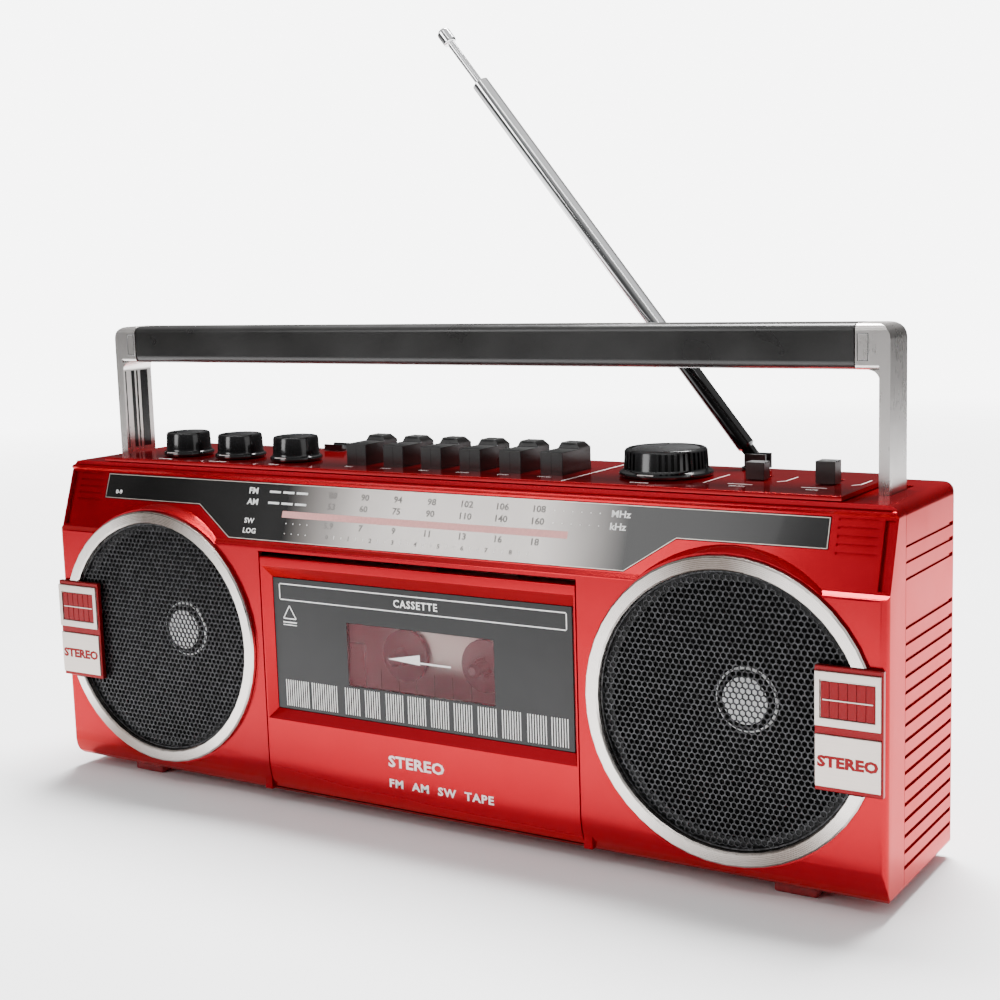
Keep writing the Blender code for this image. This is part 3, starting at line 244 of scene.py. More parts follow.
def refined(node, body, slotName, finish, edge=0.4 * mm, segments=2, flat=True, hollow=None):
    # a merged copy of a CAD piece, with its edges broken as a mould would
    thing = nodes[node].copy()
    thing.data = nodes[node].data.copy()
    thing.parent = None
    bpy.context.collection.objects.link(thing)
    thing.matrix_world = Matrix.Identity(4)
    thing.hide_render = False
    editing(thing, "VERT")
    merged(0.01 * mm)
    if flat:
        bpy.ops.mesh.dissolve_limited(angle_limit=math.radians(1.0))
    leaveEditing()
    if hollow:
        withModifier(carved(thing, hollow), "TRIANGULATE")
    softened(thing, edge, segments)
    return finished(thing, node + "_finished", body, slotName, finish, (node,))


def wording(text, size, place, turn, thickness, align="LEFT", stretch=1.0, spacing=1.0, weight=0.022):
    # raised lettering, with weight as a share of its size
    deselectAll()
    bpy.ops.object.text_add(location=(0, 0, 0))
    letters = bpy.context.object.data
    letters.body = text
    letters.size = size
    letters.align_x = align
    letters.extrude = thickness / 2
    letters.resolution_u = 2
    letters.space_character = spacing
    letters.offset = size * weight
    bpy.ops.object.convert(target="MESH")
    made = bpy.context.object
    made.scale = (stretch, 1, 1)
    editing(applied(made), "VERT")
    merged(weld / 2)
    facedOutward()
    return placed(made, place, turn)


# a shader value that can be added, subtracted and multiplied
class Reading:
    def __init__(self, finish, link):
        self.finish = finish
        self.link = link

    def sum(self, operation, other=0.0):
        return self.finish.node("Math", {"operation": operation}, {0: self, 1: other})

    def __add__(self, other):
        return self.sum("ADD", other)

    def __sub__(self, other):
        return self.sum("SUBTRACT", other)

    def __mul__(self, other):
        return self.sum("MULTIPLY", other)

    def __abs__(self):
        return self.sum("ABSOLUTE")


class Finish:
    def __init__(self, name, **fixed):
        self.material = bpy.data.materials.new(name)
        self.material.use_nodes = True
        self.tree = self.material.node_tree
        self.tree.nodes.clear()
        output = self.tree.nodes.new("ShaderNodeOutputMaterial")
        self.surface = self.tree.nodes.new("ShaderNodeBsdfPrincipled")
        self.tree.links.new(self.surface.outputs[0], output.inputs["Surface"])
        self.coords = self.node("TexCoord", out="Object")
        self.feed(**fixed)

    def give(self, socket, value):
        if isinstance(value, Reading):
            self.tree.links.new(value.link, socket)
        elif isinstance(value, tuple) and len(value) == 3 and socket.type == "RGBA":
            socket.default_value = (*value, 1.0)
        else:
            socket.default_value = value

    def feed(self, **values):
        sockets = {socket.name.replace(" ", "").lower(): socket for socket in self.surface.inputs}
        for name, value in values.items():
            self.give(sockets[name.lower()], value)

    def node(self, kind, settings=None, values=None, out=0):
        made = self.tree.nodes.new("ShaderNode" + kind)
        for name, value in (settings or {}).items():
            setattr(made, name, value)
        for key, value in (values or {}).items():
            self.give(made.inputs[key], value)
        return Reading(self, made.outputs[out])

    def noise(self, scale, detail=3.0, rough=0.5, where=None):
        return self.node("TexNoise", None, {"Vector": where or self.coords, "Scale": scale,
                                                      "Detail": detail, "Roughness": rough}, "Fac")

    def stretched(self, scale):
        return self.node("Mapping", None, {"Vector": self.coords, "Scale": scale})

    def axis(self, letter):
        return self.node("SeparateXYZ", None, {0: self.coords}, "XYZ".index(letter))

    def distance(self, first, second):
        return (first * first + second * second).sum("POWER", 0.5)

    def blend(self, share, first, second):
        return self.node("Mix", {"data_type": "RGBA"}, {0: share, 6: first, 7: second}, 2)

    def between(self, value, low, high, newLow=0.0, newHigh=1.0):
        return self.node("MapRange", None, {0: value, 1: low, 2: high, 3: newLow, 4: newHigh})

    def tint(self, share, first, second, low=0.35, high=0.65):
        self.feed(baseColor=self.blend(self.between(share, low, high), first, second))

    def wear(self, share, smooth, dull, low=0.3, high=0.7):
        self.feed(roughness=self.between(share, low, high, smooth, dull))

    def bumps(self, height, distance, strength):
        self.feed(normal=self.node("Bump", None, {"Height": height, "Distance": distance,
                                                            "Strength": strength}, "Normal"))


def shaded(colour, share):
    return tuple(part * share for part in colour)


def redPlasticFinish(name, colour, deep, rough, coat=0.35, orange=3e-5, metal=0.6):
    # metallic red moulding under a clear coat: fine flakes, slow colour drift, faint orange peel
    made = Finish(name, metallic=metal, coatRoughness=0.06, coatIOR=1.4, specularTint=(1, 0.15, 0.2))
    made.tint(made.noise(9, 2) * 0.8 + made.noise(2600, 2, 0.6) * 0.2, deep, colour)
    smear = made.noise(38, 4, 0.6)
    made.wear(smear, rough - 0.03, rough + 0.04)
    made.feed(coatWeight=made.between(smear, 0.2, 0.8, coat, coat - 0.08))
    made.bumps(made.noise(260, 1), orange, 0.15)
    return made


def blackPlasticFinish(name, colour, rough, grain, coat=0):
    # moulded plastic with a fine grain and wide, slow changes of gloss
    made = Finish(name, coatWeight=coat, coatRoughness=0.08)
    fine = made.noise(1800, 3, 0.6)
    wide = made.noise(30, 3)
    lighter = tuple(min(1, part * 1.5 + 0.004) for part in colour)
    made.tint(wide * 0.5 + fine * 0.5, colour, lighter)
    made.wear(wide, rough - 0.04, rough + 0.06)
    made.bumps(fine, grain, 0.5)
    return made


def chromeFinish(name, colour, rough):
    # plating with smudges and hair scratches
    made = Finish(name, metallic=1)
    smudge = made.noise(55, 4, 0.65)
    hair = made.noise(1, 2, 0.5, made.stretched((1500, 1500, 60)))
    made.tint(smudge, colour, shaded(colour, 0.93), 0.35, 0.7)
    made.wear(smudge * 0.7 + hair * 0.3, rough, rough + 0.07, 0.35, 0.7)
    made.bumps(hair, 4e-6, 0.3)
    return made


def tubeFinish():
    # plated tube with its foot lacquered black
    made = Finish("Aerial tube")
    black = made.between(made.axis("Z"), 0.2145, 0.2155, 1, 0)
    smudge = made.noise(55, 4, 0.65)
    made.feed(baseColor=made.blend(black, (0.86, 0.86, 0.87), (0.003, 0.003, 0.003)))
    made.feed(metallic=made.between(black, 0.2, 0.8, 1, 0))
    made.wear(smudge, 0.05, 0.12, 0.35, 0.7)
    made.bumps(smudge, 4e-6, 0.3)
    return made


def brushedFinish(name, colour, rough, stretch):
    # metal brushed along the axis with the smallest stretch
    made = Finish(name, metallic=1, anisotropic=0.35)
    lines = made.noise(1, 4, 0.7, made.stretched(stretch))
    wide = made.noise(24, 2)
    made.tint(lines * 0.7 + wide * 0.3, shaded(colour, 0.8), colour, 0.3, 0.7)
    made.wear(lines, rough - 0.05, rough + 0.08)
    made.bumps(lines, 1.2e-5, 0.4)
    return made


def ringFinish(centre):
    # turned ring with painted reflection: two darker sweeps are painted round it in place of the sheen of spun
    # metal, with fine turning lines
    made = Finish("Champagne ring", metallic=1)
    x, z = abs(made.axis("X")) - centre[0], made.axis("Z") - centre[1]
    angle = x.sum("ARCTAN2", z)
    # painted reflection: the colour darkens in two sweeps by angle round the centre
    paintedSweep = (angle * 2 + 0.5).sum("COSINE") + (angle * 5).sum("COSINE") * 0.25
    lines = (made.distance(x, z) * 9000).sum("SINE") * 0.5 + made.noise(420, 3)
    tone = made.blend(made.between(paintedSweep, 0, 1.1), (0.74, 0.69, 0.65), (0.13, 0.105, 0.09))
    made.feed(baseColor=made.blend(made.between(lines, 0.2, 0.9, 0, 0.22), tone, (0.45, 0.41, 0.38)))
    made.wear(lines, 0.2, 0.28, 0.1, 0.9)
    made.bumps(lines, 1e-5, 0.3)
    return made


def speckledFinish(name, first, second, scale, rough, metal=0, grain=4e-5, **fixed):
    # two near colours in fine spots
    made = Finish(name, metallic=metal, **fixed)
    spots = made.noise(scale, 4, 0.65)
    made.tint(spots, first, second, 0.38, 0.62)
    made.wear(spots, rough, rough + 0.1)
    made.bumps(spots, grain, 0.5)
    return made


def lensFinish():
    # smoked panel with slow changes of tone and faint wiping marks
    made = Finish("Smoked panel", specularIORLevel=0.28)
    made.tint(made.noise(14, 3), (0.01, 0.0102, 0.0103), (0.016, 0.0163, 0.0166))
    made.wear(made.noise(60, 4, 0.6), 0.16, 0.24)
    made.bumps(made.noise(300, 2), 1e-5, 0.2)
    return made


def dialFinish():
    # polished strip with a painted reflection: pale at its middle, dark towards both ends
    made = Finish("Dial mirror", specularIORLevel=0.3, coatWeight=0.1, coatRoughness=0.03)
    # painted reflection: distance from the pale middle sets the colour and the metal share
    fromPaintedReflection = abs(made.axis("X") - 0.026 + made.noise(8, 2) * 0.02)
    tone = made.blend(made.between(fromPaintedReflection, 0.048, 0.088), (0.47, 0.435, 0.41), (0.003, 0.0029, 0.0028))
    wide = made.noise(18, 3)
    made.feed(baseColor=made.blend(made.between(wide, 0.4, 0.6, 0, 0.08), tone, (0.05, 0.047, 0.045)))
    made.feed(metallic=made.between(fromPaintedReflection, 0.045, 0.08, 0.25, 0.08))
    made.wear(wide, 0.14, 0.22)
    made.bumps(made.noise(260, 2), 8e-6, 0.2)
    return made


def windowFinish():
    # tinted window, rosy and hazy, that lets the hubs show through
    made = Finish("Rosy window", roughness=0.12, coatWeight=0.25, coatRoughness=0.03)
    haze = made.noise(26, 3)
    made.tint(haze, (0.17, 0.012, 0.024), (0.22, 0.028, 0.04))
    made.feed(alpha=made.between(haze, 0.3, 0.7, 0.2, 0.3))
    made.material.surface_render_method = "DITHERED"
    return made


def inkFinish(name, colour):
    made = Finish(name)
    grain = made.noise(900, 2)
    made.tint(grain, shaded(colour, 0.9), colour)
    made.wear(grain, 0.38, 0.52)
    return made


def floorFinish(middle):
    # matt floor that fades out into the backdrop
    made = Finish("Studio floor", specularIORLevel=0.15)
    away = made.distance(made.axis("X") - middle[0], made.axis("Y") - middle[1])
    made.feed(alpha=made.between(away, 0.55, 1.9, 1, 0))
    grain = made.noise(6, 3)
    made.tint(grain, (0.93, 0.93, 0.935), (0.95, 0.95, 0.955), 0.3, 0.7)
    made.wear(grain, 0.75, 0.85)
    return made


speakerPart = lengths(
    centre=(147, 72.8), ringInner=54.9, front=-41, sheetFront=-37.7, sheet=0.6, holePitch=2.5, wire=0.26,
    sheetGap=0.4,
    # rim points: (in from the ring, back from its front)
    rim=((-0.3, -2.7), (-0.3, -3.7), (-1, -3.7), (-1, -2.7)),
    # cone points: (away from the centre, height over the cone's front)
    coneFront=-35.4,
    cone=((0, -12.7), (3, -12.8), (6.5, -13.25), (9.5, -13.95), (12.3, -15.05), (13.2, -15.9), (20, -13),
          (28, -9.5), (36, -6.1), (43, -3.2), (45.6, -2.3), (46.2, -1.5), (47.4, -1.1), (48.6, -1.4),
          (50.2, -1.6), (50.2, -2), (48.6, -1.9), (46, -2.6), (13.3, -16.6), (12.8, -20.4), (12.2, -20.4),
          (12.3, -15.8), (6.5, -14.1), (0, -13.5)),
    capReach=10.4, capEdge=(12.3, 13.3), capBack=-18)

red = redPlasticFinish("Cherry shell", (0.37, 0.003, 0.011), (0.29, 0.002, 0.008), 0.22, 0.22, 1e-5, 0.75)
redPlate = redPlasticFinish("Cherry plate", (0.42, 0.003, 0.01), (0.32, 0.002, 0.006), 0.12, 0.6, 1.2e-5, 0.7)
redDoor = redPlasticFinish("Cherry door", (0.41, 0.003, 0.012), (0.34, 0.002, 0.009), 0.22, 0.18, 1e-5, 0.7)
redDeep = redPlasticFinish("Cherry recess", (0.17, 0.001, 0.003), (0.12, 0.001, 0.002), 0.3)
gloss = blackPlasticFinish("Piano black", (0.0025, 0.0025, 0.003), 0.16, 5e-6, 0.2)
satin = blackPlasticFinish("Satin black", (0.006, 0.0056, 0.0053), 0.3, 1e-5)
keyGrey = blackPlasticFinish("Key grey", (0.009, 0.0088, 0.0085), 0.3, 2e-5)
# near-black: painted shade for the key recesses and grooves, and also the finish of the speaker frames
keyDark = blackPlasticFinish("Key recess", (0.0015, 0.0015, 0.0015), 0.6, 2e-5)
capGrey = blackPlasticFinish("Knob cap grey", (0.018, 0.018, 0.019), 0.26, 1e-5)
chrome = chromeFinish("Bright chrome", (0.88, 0.88, 0.89), 0.05)
warmChrome = chromeFinish("Handle chrome", (0.66, 0.63, 0.61), 0.26)
tubeChrome = tubeFinish()
silver = ringFinish(speakerPart["centre"])
plateSilver = brushedFinish("Champagne plate", (0.6, 0.53, 0.48), 0.34, (60, 60, 2600))
grilleBlack = speckledFinish("Grille black", (0.002, 0.002, 0.0022), (0.05, 0.05, 0.053), 700, 0.28, 0.6)
lens = lensFinish()
dialMirror = dialFinish()
rosy = windowFinish()
white = inkFinish("White print", (0.9, 0.9, 0.88))
pinkInk = inkFinish("Rose print", (0.72, 0.33, 0.31))
darkInk = inkFinish("Dark print", (0.035, 0.03, 0.03))
greyInk = inkFinish("Grey print", (0.17, 0.16, 0.15))
paper = speckledFinish("Cone paper", (0.001, 0.001, 0.001), (0.0035, 0.0033, 0.0032), 260, 0.7, 0,
                       0.0002, specularIORLevel=0.08)
dustCap = speckledFinish("Dust cap", (0.9, 0.9, 0.91), (0.97, 0.97, 0.97), 900, 0.3, 0.05)
board = speckledFinish("Board green", (0.01, 0.075, 0.026), (0.02, 0.105, 0.04), 160, 0.42)
rubber = speckledFinish("Foot rubber", (0.22, 0.01, 0.014), (0.3, 0.016, 0.02), 400, 0.6)
softRubber = speckledFinish("Roller rubber", (0.02, 0.02, 0.021), (0.032, 0.032, 0.033), 500, 0.7)
steel = brushedFinish("Zinc steel", (0.58, 0.58, 0.57), 0.34, (40, 900, 900))
ferrite = speckledFinish("Ferrite", (0.03, 0.028, 0.028), (0.06, 0.057, 0.055), 300, 0.6)
pointerRed = speckledFinish("Pointer red", (0.7, 0.05, 0.03), (0.8, 0.08, 0.05), 300, 0.4)
print("finishes ready")


def shells():
    refined("front_cabinet", "cabinet", "red_plastic", red, 0.6 * mm, 3, False)
    refined("top_plate", "cabinet", "red_plastic", redPlate, 0.3 * mm, 2, False)
    refined("cassette_door", "cassette_door", "red_plastic", redDoor, 0.5 * mm, 3, False)
    refined("battery_door", "battery_lid", "red_plastic", red, 0.3 * mm, 2)
    for row in ("front", "rear"):
        for side in ("left", "right"):
            refined("foot_%s_%s" % (row, side), "cabinet", "rubber", rubber, 0)
    print("shells ready")


# the sloping front: u runs along X, v up the slope, and out is away from it
slope = math.radians(18.9)
slopeTop = (-26.6 * mm, 149.3 * mm)
slopeLength = 28.4 * mm
slopeFoot = (slopeTop[0] - slopeLength * math.sin(slope), slopeTop[1] - slopeLength * math.cos(slope))
slopeTurn = (math.pi / 2 - slope, 0, 0)


def onSlope(u, v, out):
    y = slopeFoot[0] + v * math.sin(slope) - out * math.cos(slope)
    z = slopeFoot[1] + v * math.cos(slope) + out * math.sin(slope)
    return (u, y, z)


dialPrint = dict(lengths(
    rows=(22, 16.9, 8.3, 3.7), start=-46, end=60, size=3.9, out=0.03, thick=0.05,
    bandWords=-94.5, unitWords=93.5, endWords=(-178, 17.6),
    # marks in a row: (first, pitch, over the row, width, height)
    dots=(67.5, 4.2, 1.1, 0.45, 0.45), dashes=(-79, 7.8, 1.3, 6.4, 1), lowDots=(-70, 4, 1, 0.45, 0.45),
    # fine marks after each number of the lowest row: (after, height)
    ticks=((4, 1.6), (8, 1)), tickWidth=0.25, tickRise=1, band=(1, 13.4, 148, 3, 0.01),
    edge=((-184.2, 27), (-184.2, 15.5), (-123.1, 15.4), (-102.1, 1), (102.1, 1), (123.1, 15.4), (184.2, 15.5),
          (184.2, 27)),
    edgeWidth=0.3, edgeHalf=0.03),
    scales=(("88", "90", "94", "98", "102", "106", "108"), ("53", "60", "75", "90", "110", "140", "160"),
            ("5.9", "7", "9", "11", "13", "16", "18")),
    log="012345678", logShare=0.9, small=0.85, smallest=0.7, stretch=1.15)


def slopeMark(u, v, width, height, out=dialPrint["out"]):
    thick = dialPrint["thick"]
    made = block((-width / 2, -height / 2, -thick / 2), (width / 2, height / 2, thick / 2))
    return placed(made, onSlope(u, v, out), slopeTurn)


def dial():
    refined("dial_lens", "cabinet", "smoked_lens", dialMirror, 0.15 * mm, 2)
    refined("dial_scale", "cabinet", "black_plastic", satin, 0)
    refined("dial_pointer", "dial_pointer", "pointer_red", pointerRed, 0.1 * mm)
    part = dialPrint
    rows, size, small = part["rows"], part["size"], part["small"]
    pieces, numbers = [], []

    def words(text, u, v, height=size, align="LEFT"):
        place = onSlope(u, v, part["out"])
        made = wording(text, height, place, slopeTurn, part["thick"], align, part["stretch"])
        (numbers if align == "CENTER" else pieces).append(made)

    def markRow(v, settings, count):
        first, pitch, rise, width, height = settings
        for index in range(count):
            pieces.append(slopeMark(first + index * pitch, v + rise, width, height))

    start, span = part["start"], part["end"] - part["start"]
    for texts, v in zip(part["scales"], rows):
        for index, text in enumerate(texts):
            words(text, start + span * index / (len(texts) - 1), v, size, "CENTER")
    for text, u, row, share in (("FM", "bandWords", 0, 1.0), ("AM", "bandWords", 1, 1.0),
                                ("MHz", "unitWords", 0, 1.0), ("kHz", "unitWords", 1, 1.0),
                                ("LOG", "bandWords", 3, small), ("SW", "bandWords", 2, small)):
        words(text, part[u], rows[row], size * share)
    words("0-9", *part["endWords"], size * part["smallest"])
    for index, text in enumerate(part["log"]):
        u = start + span * index / (len(part["log"]) - 1) * part["logShare"]
        words(text, u, rows[3], size * part["smallest"], "CENTER")
        for after, height in part["ticks"]:
            pieces.append(slopeMark(u + after, rows[3] + part["tickRise"], part["tickWidth"], height))
    for v in rows[:2]:
        markRow(v, part["dots"], 6)
        markRow(v, part["dashes"], 3)
    for v in rows[2:]:
        markRow(v, part["lowDots"], 4)
    finished(joined(pieces), "dial_print", "cabinet", "smoked_lens", white)
    finished(joined(numbers), "dial_numbers", "cabinet", "smoked_lens", greyInk)
    bar = softened(slopeMark(*part["band"]), 0.01 * mm, 1)
    finished(bar, "dial_band", "cabinet", "smoked_lens", pinkInk)
    points, width, half = part["edge"], part["edgeWidth"], part["edgeHalf"]
    lines = joined([stroke(one, other, width, -half, half, width)
                    for one, other in zip(points, points[1:] + points[:1])])
    placed(lines, onSlope(0, 0, part["out"]), slopeTurn)
    finished(lines, "dial_edge", "cabinet", "smoked_lens", plateSilver)
    print("dial ready")


def grilleSheet():
    # one hexagon is repeated into a field, cut round, and every cell is opened
    pitch = speakerPart["holePitch"]
    radius = pitch / math.sqrt(3)
    reach = speakerPart["ringInner"] - speakerPart["sheetGap"]
    columns = int(2 * reach / pitch) + 3
    rows = int(2 * reach / (1.5 * radius) / 2) + 2
    near = 0.05 * mm
    deselectAll()
    bpy.ops.mesh.primitive_circle_add(vertices=6, radius=radius, fill_type="NGON", location=(0, 0, 0))
    sheet = bpy.context.object
    editing(sheet)
    selectAll()
    bpy.ops.mesh.duplicate_move(TRANSFORM_OT_translate={"value": (pitch / 2, 1.5 * radius, 0)})
    leaveEditing()
    for count, step in ((columns, (pitch, 0, 0)), (rows, (0, 3 * radius, 0))):
        withModifier(sheet, "ARRAY", count=count, constant_offset_displace=step, use_merge_vertices=True,
                     merge_threshold=near, use_relative_offset=False, use_constant_offset=True)
    placed(sheet, (-(columns - 1) * pitch / 2, -(rows - 1) * 1.5 * radius, 0))
    editing(sheet)
    merged(near)
    selectFaces(sheet, lambda middle, normal: math.hypot(middle.x, middle.y) > reach - radius * 0.95)
    bpy.ops.mesh.delete(type="FACE")
    selectAll()
    bpy.ops.mesh.inset(thickness=speakerPart["wire"], use_individual=True, use_boundary=True)
    bpy.ops.mesh.delete(type="FACE")
    leaveEditing()
    return withModifier(sheet, "SOLIDIFY", thickness=speakerPart["sheet"], offset=0.0)


def speakers():
    part = speakerPart
    grille = ("cabinet", "grille_metal", grilleBlack)
    sheet = grilleSheet()
    centreX, centreZ = part["centre"]
    for side, sign in (("left", -1), ("right", 1)):
        x = sign * centreX
        mesh = placed(copied(sheet), (x, part["sheetFront"], centreZ), upright)
        finished(mesh, "speaker_mesh_" + side, *grille, ("speaker_grille_" + side,))
        rim = spun([(part["ringInner"] + out, back) for out, back in part["rim"]], 96, True)
        placed(rim, (x, part["front"], centreZ), upright)
        finished(softened(rim, 0.1 * mm), "mesh_rim_" + side, *grille)
        refined("speaker_ring_" + side, "cabinet", "silver_trim", silver, 0.25 * mm, 3)
        refined("speaker_frame_" + side, "cabinet", "plated_steel", keyDark, 0)
        cone = placed(spun(part["cone"], 72), (x, part["coneFront"], centreZ), upright)
        softened(cone, 0)
        finished(cone, "speaker_cone_" + side + "_finished", "cone_" + side, "cone_paper", [paper, dustCap],
                 ("speaker_cone_" + side,))
        for face in cone.data.polygons:
            away = math.hypot(face.center.x - x, face.center.z - centreZ)
            onCap = away < part["capReach"] or part["capEdge"][0] < away < part["capEdge"][1]
            if onCap and face.center.y < part["capBack"]:
                face.material_index = 1
        refined("speaker_magnet_" + side, "cabinet", "ferrite", ferrite, 0.8 * mm)
    discard(sheet)
    print("speakers ready")


badgePart = dict(lengths(
    bottom=48.5, top=96, front=-42.5, back=-38.8, frame=(73.4, 94), window=(76.2, 90.6), plate=(50.4, 70.2),
    left=0.5, right=0.7, thick=1.4, border=1.9, recess=1,
    # from the badge's sides to the ribs, and each layer's depth behind the front
    inset=(2.6, 2.8), ribGap=0.15, ribEnd=0.4, ribDepth=(0.55, 1.2), floorEnd=0.5, floorDepth=(0.88, 1.1),
    barEnd=0.8, barHalf=0.25, barDepth=(0.25, 0.6), wordSize=5.6, wordDrop=2), ribs=6)


def badges():
    part = badgePart
    front = part["front"]
    deep, trim = ("cabinet", "red_plastic", redDeep), ("cabinet", "silver_trim", plateSilver)
    (f0, f1), (w0, w1), (p0, p1) = part["frame"], part["window"], part["plate"]

    def layer(start, end, bottom, top, depth):
        return block((start, front + depth[0], bottom), (end, front + depth[1], top))

    for side in ("left", "right"):
        low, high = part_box("badge_" + side)
        x0, x1 = low[0], high[0]
        inner0, inner1 = x0 + part["left"], x1 - part["right"]
        left, right = x0 + part["inset"][0], x1 - part["inset"][1]

        housing = block((x0, front + 1.1 * mm, part["bottom"]), (x1, part["back"], part["top"]))
        finished(softened(housing, 0.5 * mm, 3), "badge_housing_" + side, *deep, ("badge_" + side,))
        border = layer(inner0, inner1, f0, f1, (0, part["thick"]))
        recessed(border, part["border"], part["recess"], (w1 - w0) / (f1 - f0 - 2 * part["border"]))
        finished(softened(border, 0.18 * mm), "badge_frame_" + side, *trim)
        end = part["floorEnd"]
        inset = [layer(left, right, w0 + end, w1 - end, part["floorDepth"])]
        step = (right - left) / part["ribs"]
        gap, end = part["ribGap"], part["ribEnd"]
        for start in (left + index * step for index in range(part["ribs"])):
            rib = layer(start + gap, start + step - gap, w0 + end, w1 - end, part["ribDepth"])
            inset.append(softened(rib, 0.12 * mm))
        finished(joined(inset), "badge_ribs_" + side, *deep)
        middle, half = (w0 + w1) / 2, part["barHalf"]
        end = part["barEnd"]
        bar = layer(left + end, right - end, middle - half, middle + half, part["barDepth"])
        finished(softened(bar, 0.08 * mm), "badge_bar_" + side, *trim)
        plate = layer(inner0, inner1, p0, p1, (0.2 * mm, part["thick"]))
        finished(softened(plate, 0.25 * mm, 3), "badge_plate_" + side, *trim)
        place = ((x0 + x1) / 2, front + 0.19 * mm, (p0 + p1) / 2 - part["wordDrop"])
        word = wording("STEREO", part["wordSize"], place, upright, 0.08 * mm, "CENTER", 1.16, 1.03, 0.055)
        finished(word, "badge_word_" + side, *deep)
    print("badges ready")


# crown points are measured from the body's edge and the top, wall and foot points from the body's
# or flange's edge and the plate; a disc has its flat and full radius, both in from the body
smallKnob = dict(lengths(
    body=10.8, flange=12.2, mark=(3.2, 0.25, 0.9, 1.7, 2.1), wall=((0, 3.4), (0.15, 2.6)),
    crown=((-2.6, -0.5), (-2.3, -0.05), (-1.4, 0), (-0.8, -0.2), (-0.35, -0.9)),
    foot=((-1.1, 2.3), (-0.3, 1.9), (0, 1.1), (-0.2, 0.3), (-0.8, 0)),
    disc=(3.4, 2.9), discRise=0.42, discEdge=0.1, notch=(2.2, 5.2)), steps=64, discSteps=48)
largeKnob = dict(lengths(
    body=17.5, flange=19.5, mark=(3.6, 0.3, 1, 1.5, 2), wall=((-0.1, 3.2), (0.2, 2.6)),
    crown=((-3.2, -0.5), (-2.9, 0), (-1.7, 0), (-1, -0.35), (-0.5, -1.1)),
    foot=((-1.2, 2.2), (-0.3, 1.7), (0, 1), (-0.3, 0.2), (-1, 0)),
    disc=(4.4, 3.6), discRise=0.4, discEdge=0.05, fluteDepth=0.9, fluteEdge=0.1),
    steps=88, discSteps=64, smooth=0.3)
knobPart = dict(
    lengths(top=167.5, base=156.3, centre=-0.5, discSink=0.46, shaft=(3, -10.3)),
    # each knob's place and turn
    knobs={"volume_knob": (-0.152, -0.005, -20, smallKnob), "balance_knob": (-0.119, -0.005, -40, smallKnob),
           "tone_knob": (-0.085, -0.005, 0, smallKnob), "tuning_knob": (0.101, 0.0057, 0, largeKnob)})


def flutes(knob, kind):
    # every second strip of the wall is pressed in, apart from the polished panel in front
    turn = 2 * math.pi / kind["steps"]

    def fluted(middle, normal):
        angle = math.atan2(middle.y, middle.x)
        strip = int(math.floor(angle / turn + 2 * kind["steps"])) % 2
        ahead = angle + math.pi / 2
        polished = abs(math.atan2(math.sin(ahead), math.cos(ahead))) < kind["smooth"]
        onWall = middle.z > 3.0 * mm and math.hypot(middle.x, middle.y) > kind["body"] - mm
        return abs(normal.z) < 0.3 and onWall and strip == 0 and not polished

    editing(knob)
    selectFaces(knob, fluted)
    bpy.ops.mesh.inset(thickness=kind["fluteEdge"], depth=-kind["fluteDepth"], use_individual=True)
    leaveEditing()


def knob(name, x, y, turn, kind):
    top, base = knobPart["top"], knobPart["base"]
    body, flange, height = kind["body"], kind["flange"], top - base
    shaft, depth = knobPart["shaft"]
    profile = [(0, height + knobPart["centre"])]
    for points, edge, level in (("crown", body, height), ("wall", body, 0), ("foot", flange, 0)):
        profile += [(edge + out, level + up) for out, up in kind[points]]
    made = spun(profile + [(shaft, 0), (shaft, depth), (0, depth)], kind["steps"])
    if "fluteDepth" in kind:
        flutes(made, kind)
    placed(softened(made, 0), (x, y, base))
    finished(made, name + "_finished", name, "black_plastic", gloss, (name,))
    inner, outer = (body - inside for inside in kind["disc"])
    rise, edge, foot = kind["discRise"], kind["discEdge"], -0.1 * mm
    disc = spun([(0, rise), (inner, rise), (outer, edge), (outer, foot), (0, foot)], kind["discSteps"])
    if "notch" in kind:
        half, deep = kind["notch"]
        carved(disc, block((-half, -body, -mm), (half, -body + deep, mm)))
    placed(softened(disc, 0), (x, y, top - knobPart["discSink"]), (0, 0, math.radians(turn)))
    finished(disc, name + "_cap", name, "black_plastic", capGrey)
    half, near, far, low, high = kind["mark"]
    mark = block((-half, -flange + near, low), (half, -flange + far, high))
    placed(softened(mark, 0.15 * mm), (x, y, base))
    finished(mark, name + "_mark", name, "black_plastic", white)


keyPart = dict(lengths(
    first=-45.9, pitch=20.34, width=10.8, front=-10.5, step=4.4, rear=14, low=145.4, shelf=165.5, top=168,
    taperBehind=0.9, crease=0.22, recessDepth=(0.15, 1.3), recessRise=(0.3, -0.35),
    grooveHalf=0.17, grooveDepth=(-0.03, 0.3), grooveRise=(156.6, 165)),
    names=("record_key", "play_key", "rewind_key", "forward_key", "stop_key", "pause_key"),
    taper=(0.7, 0.72, 1), recessShare=0.55)


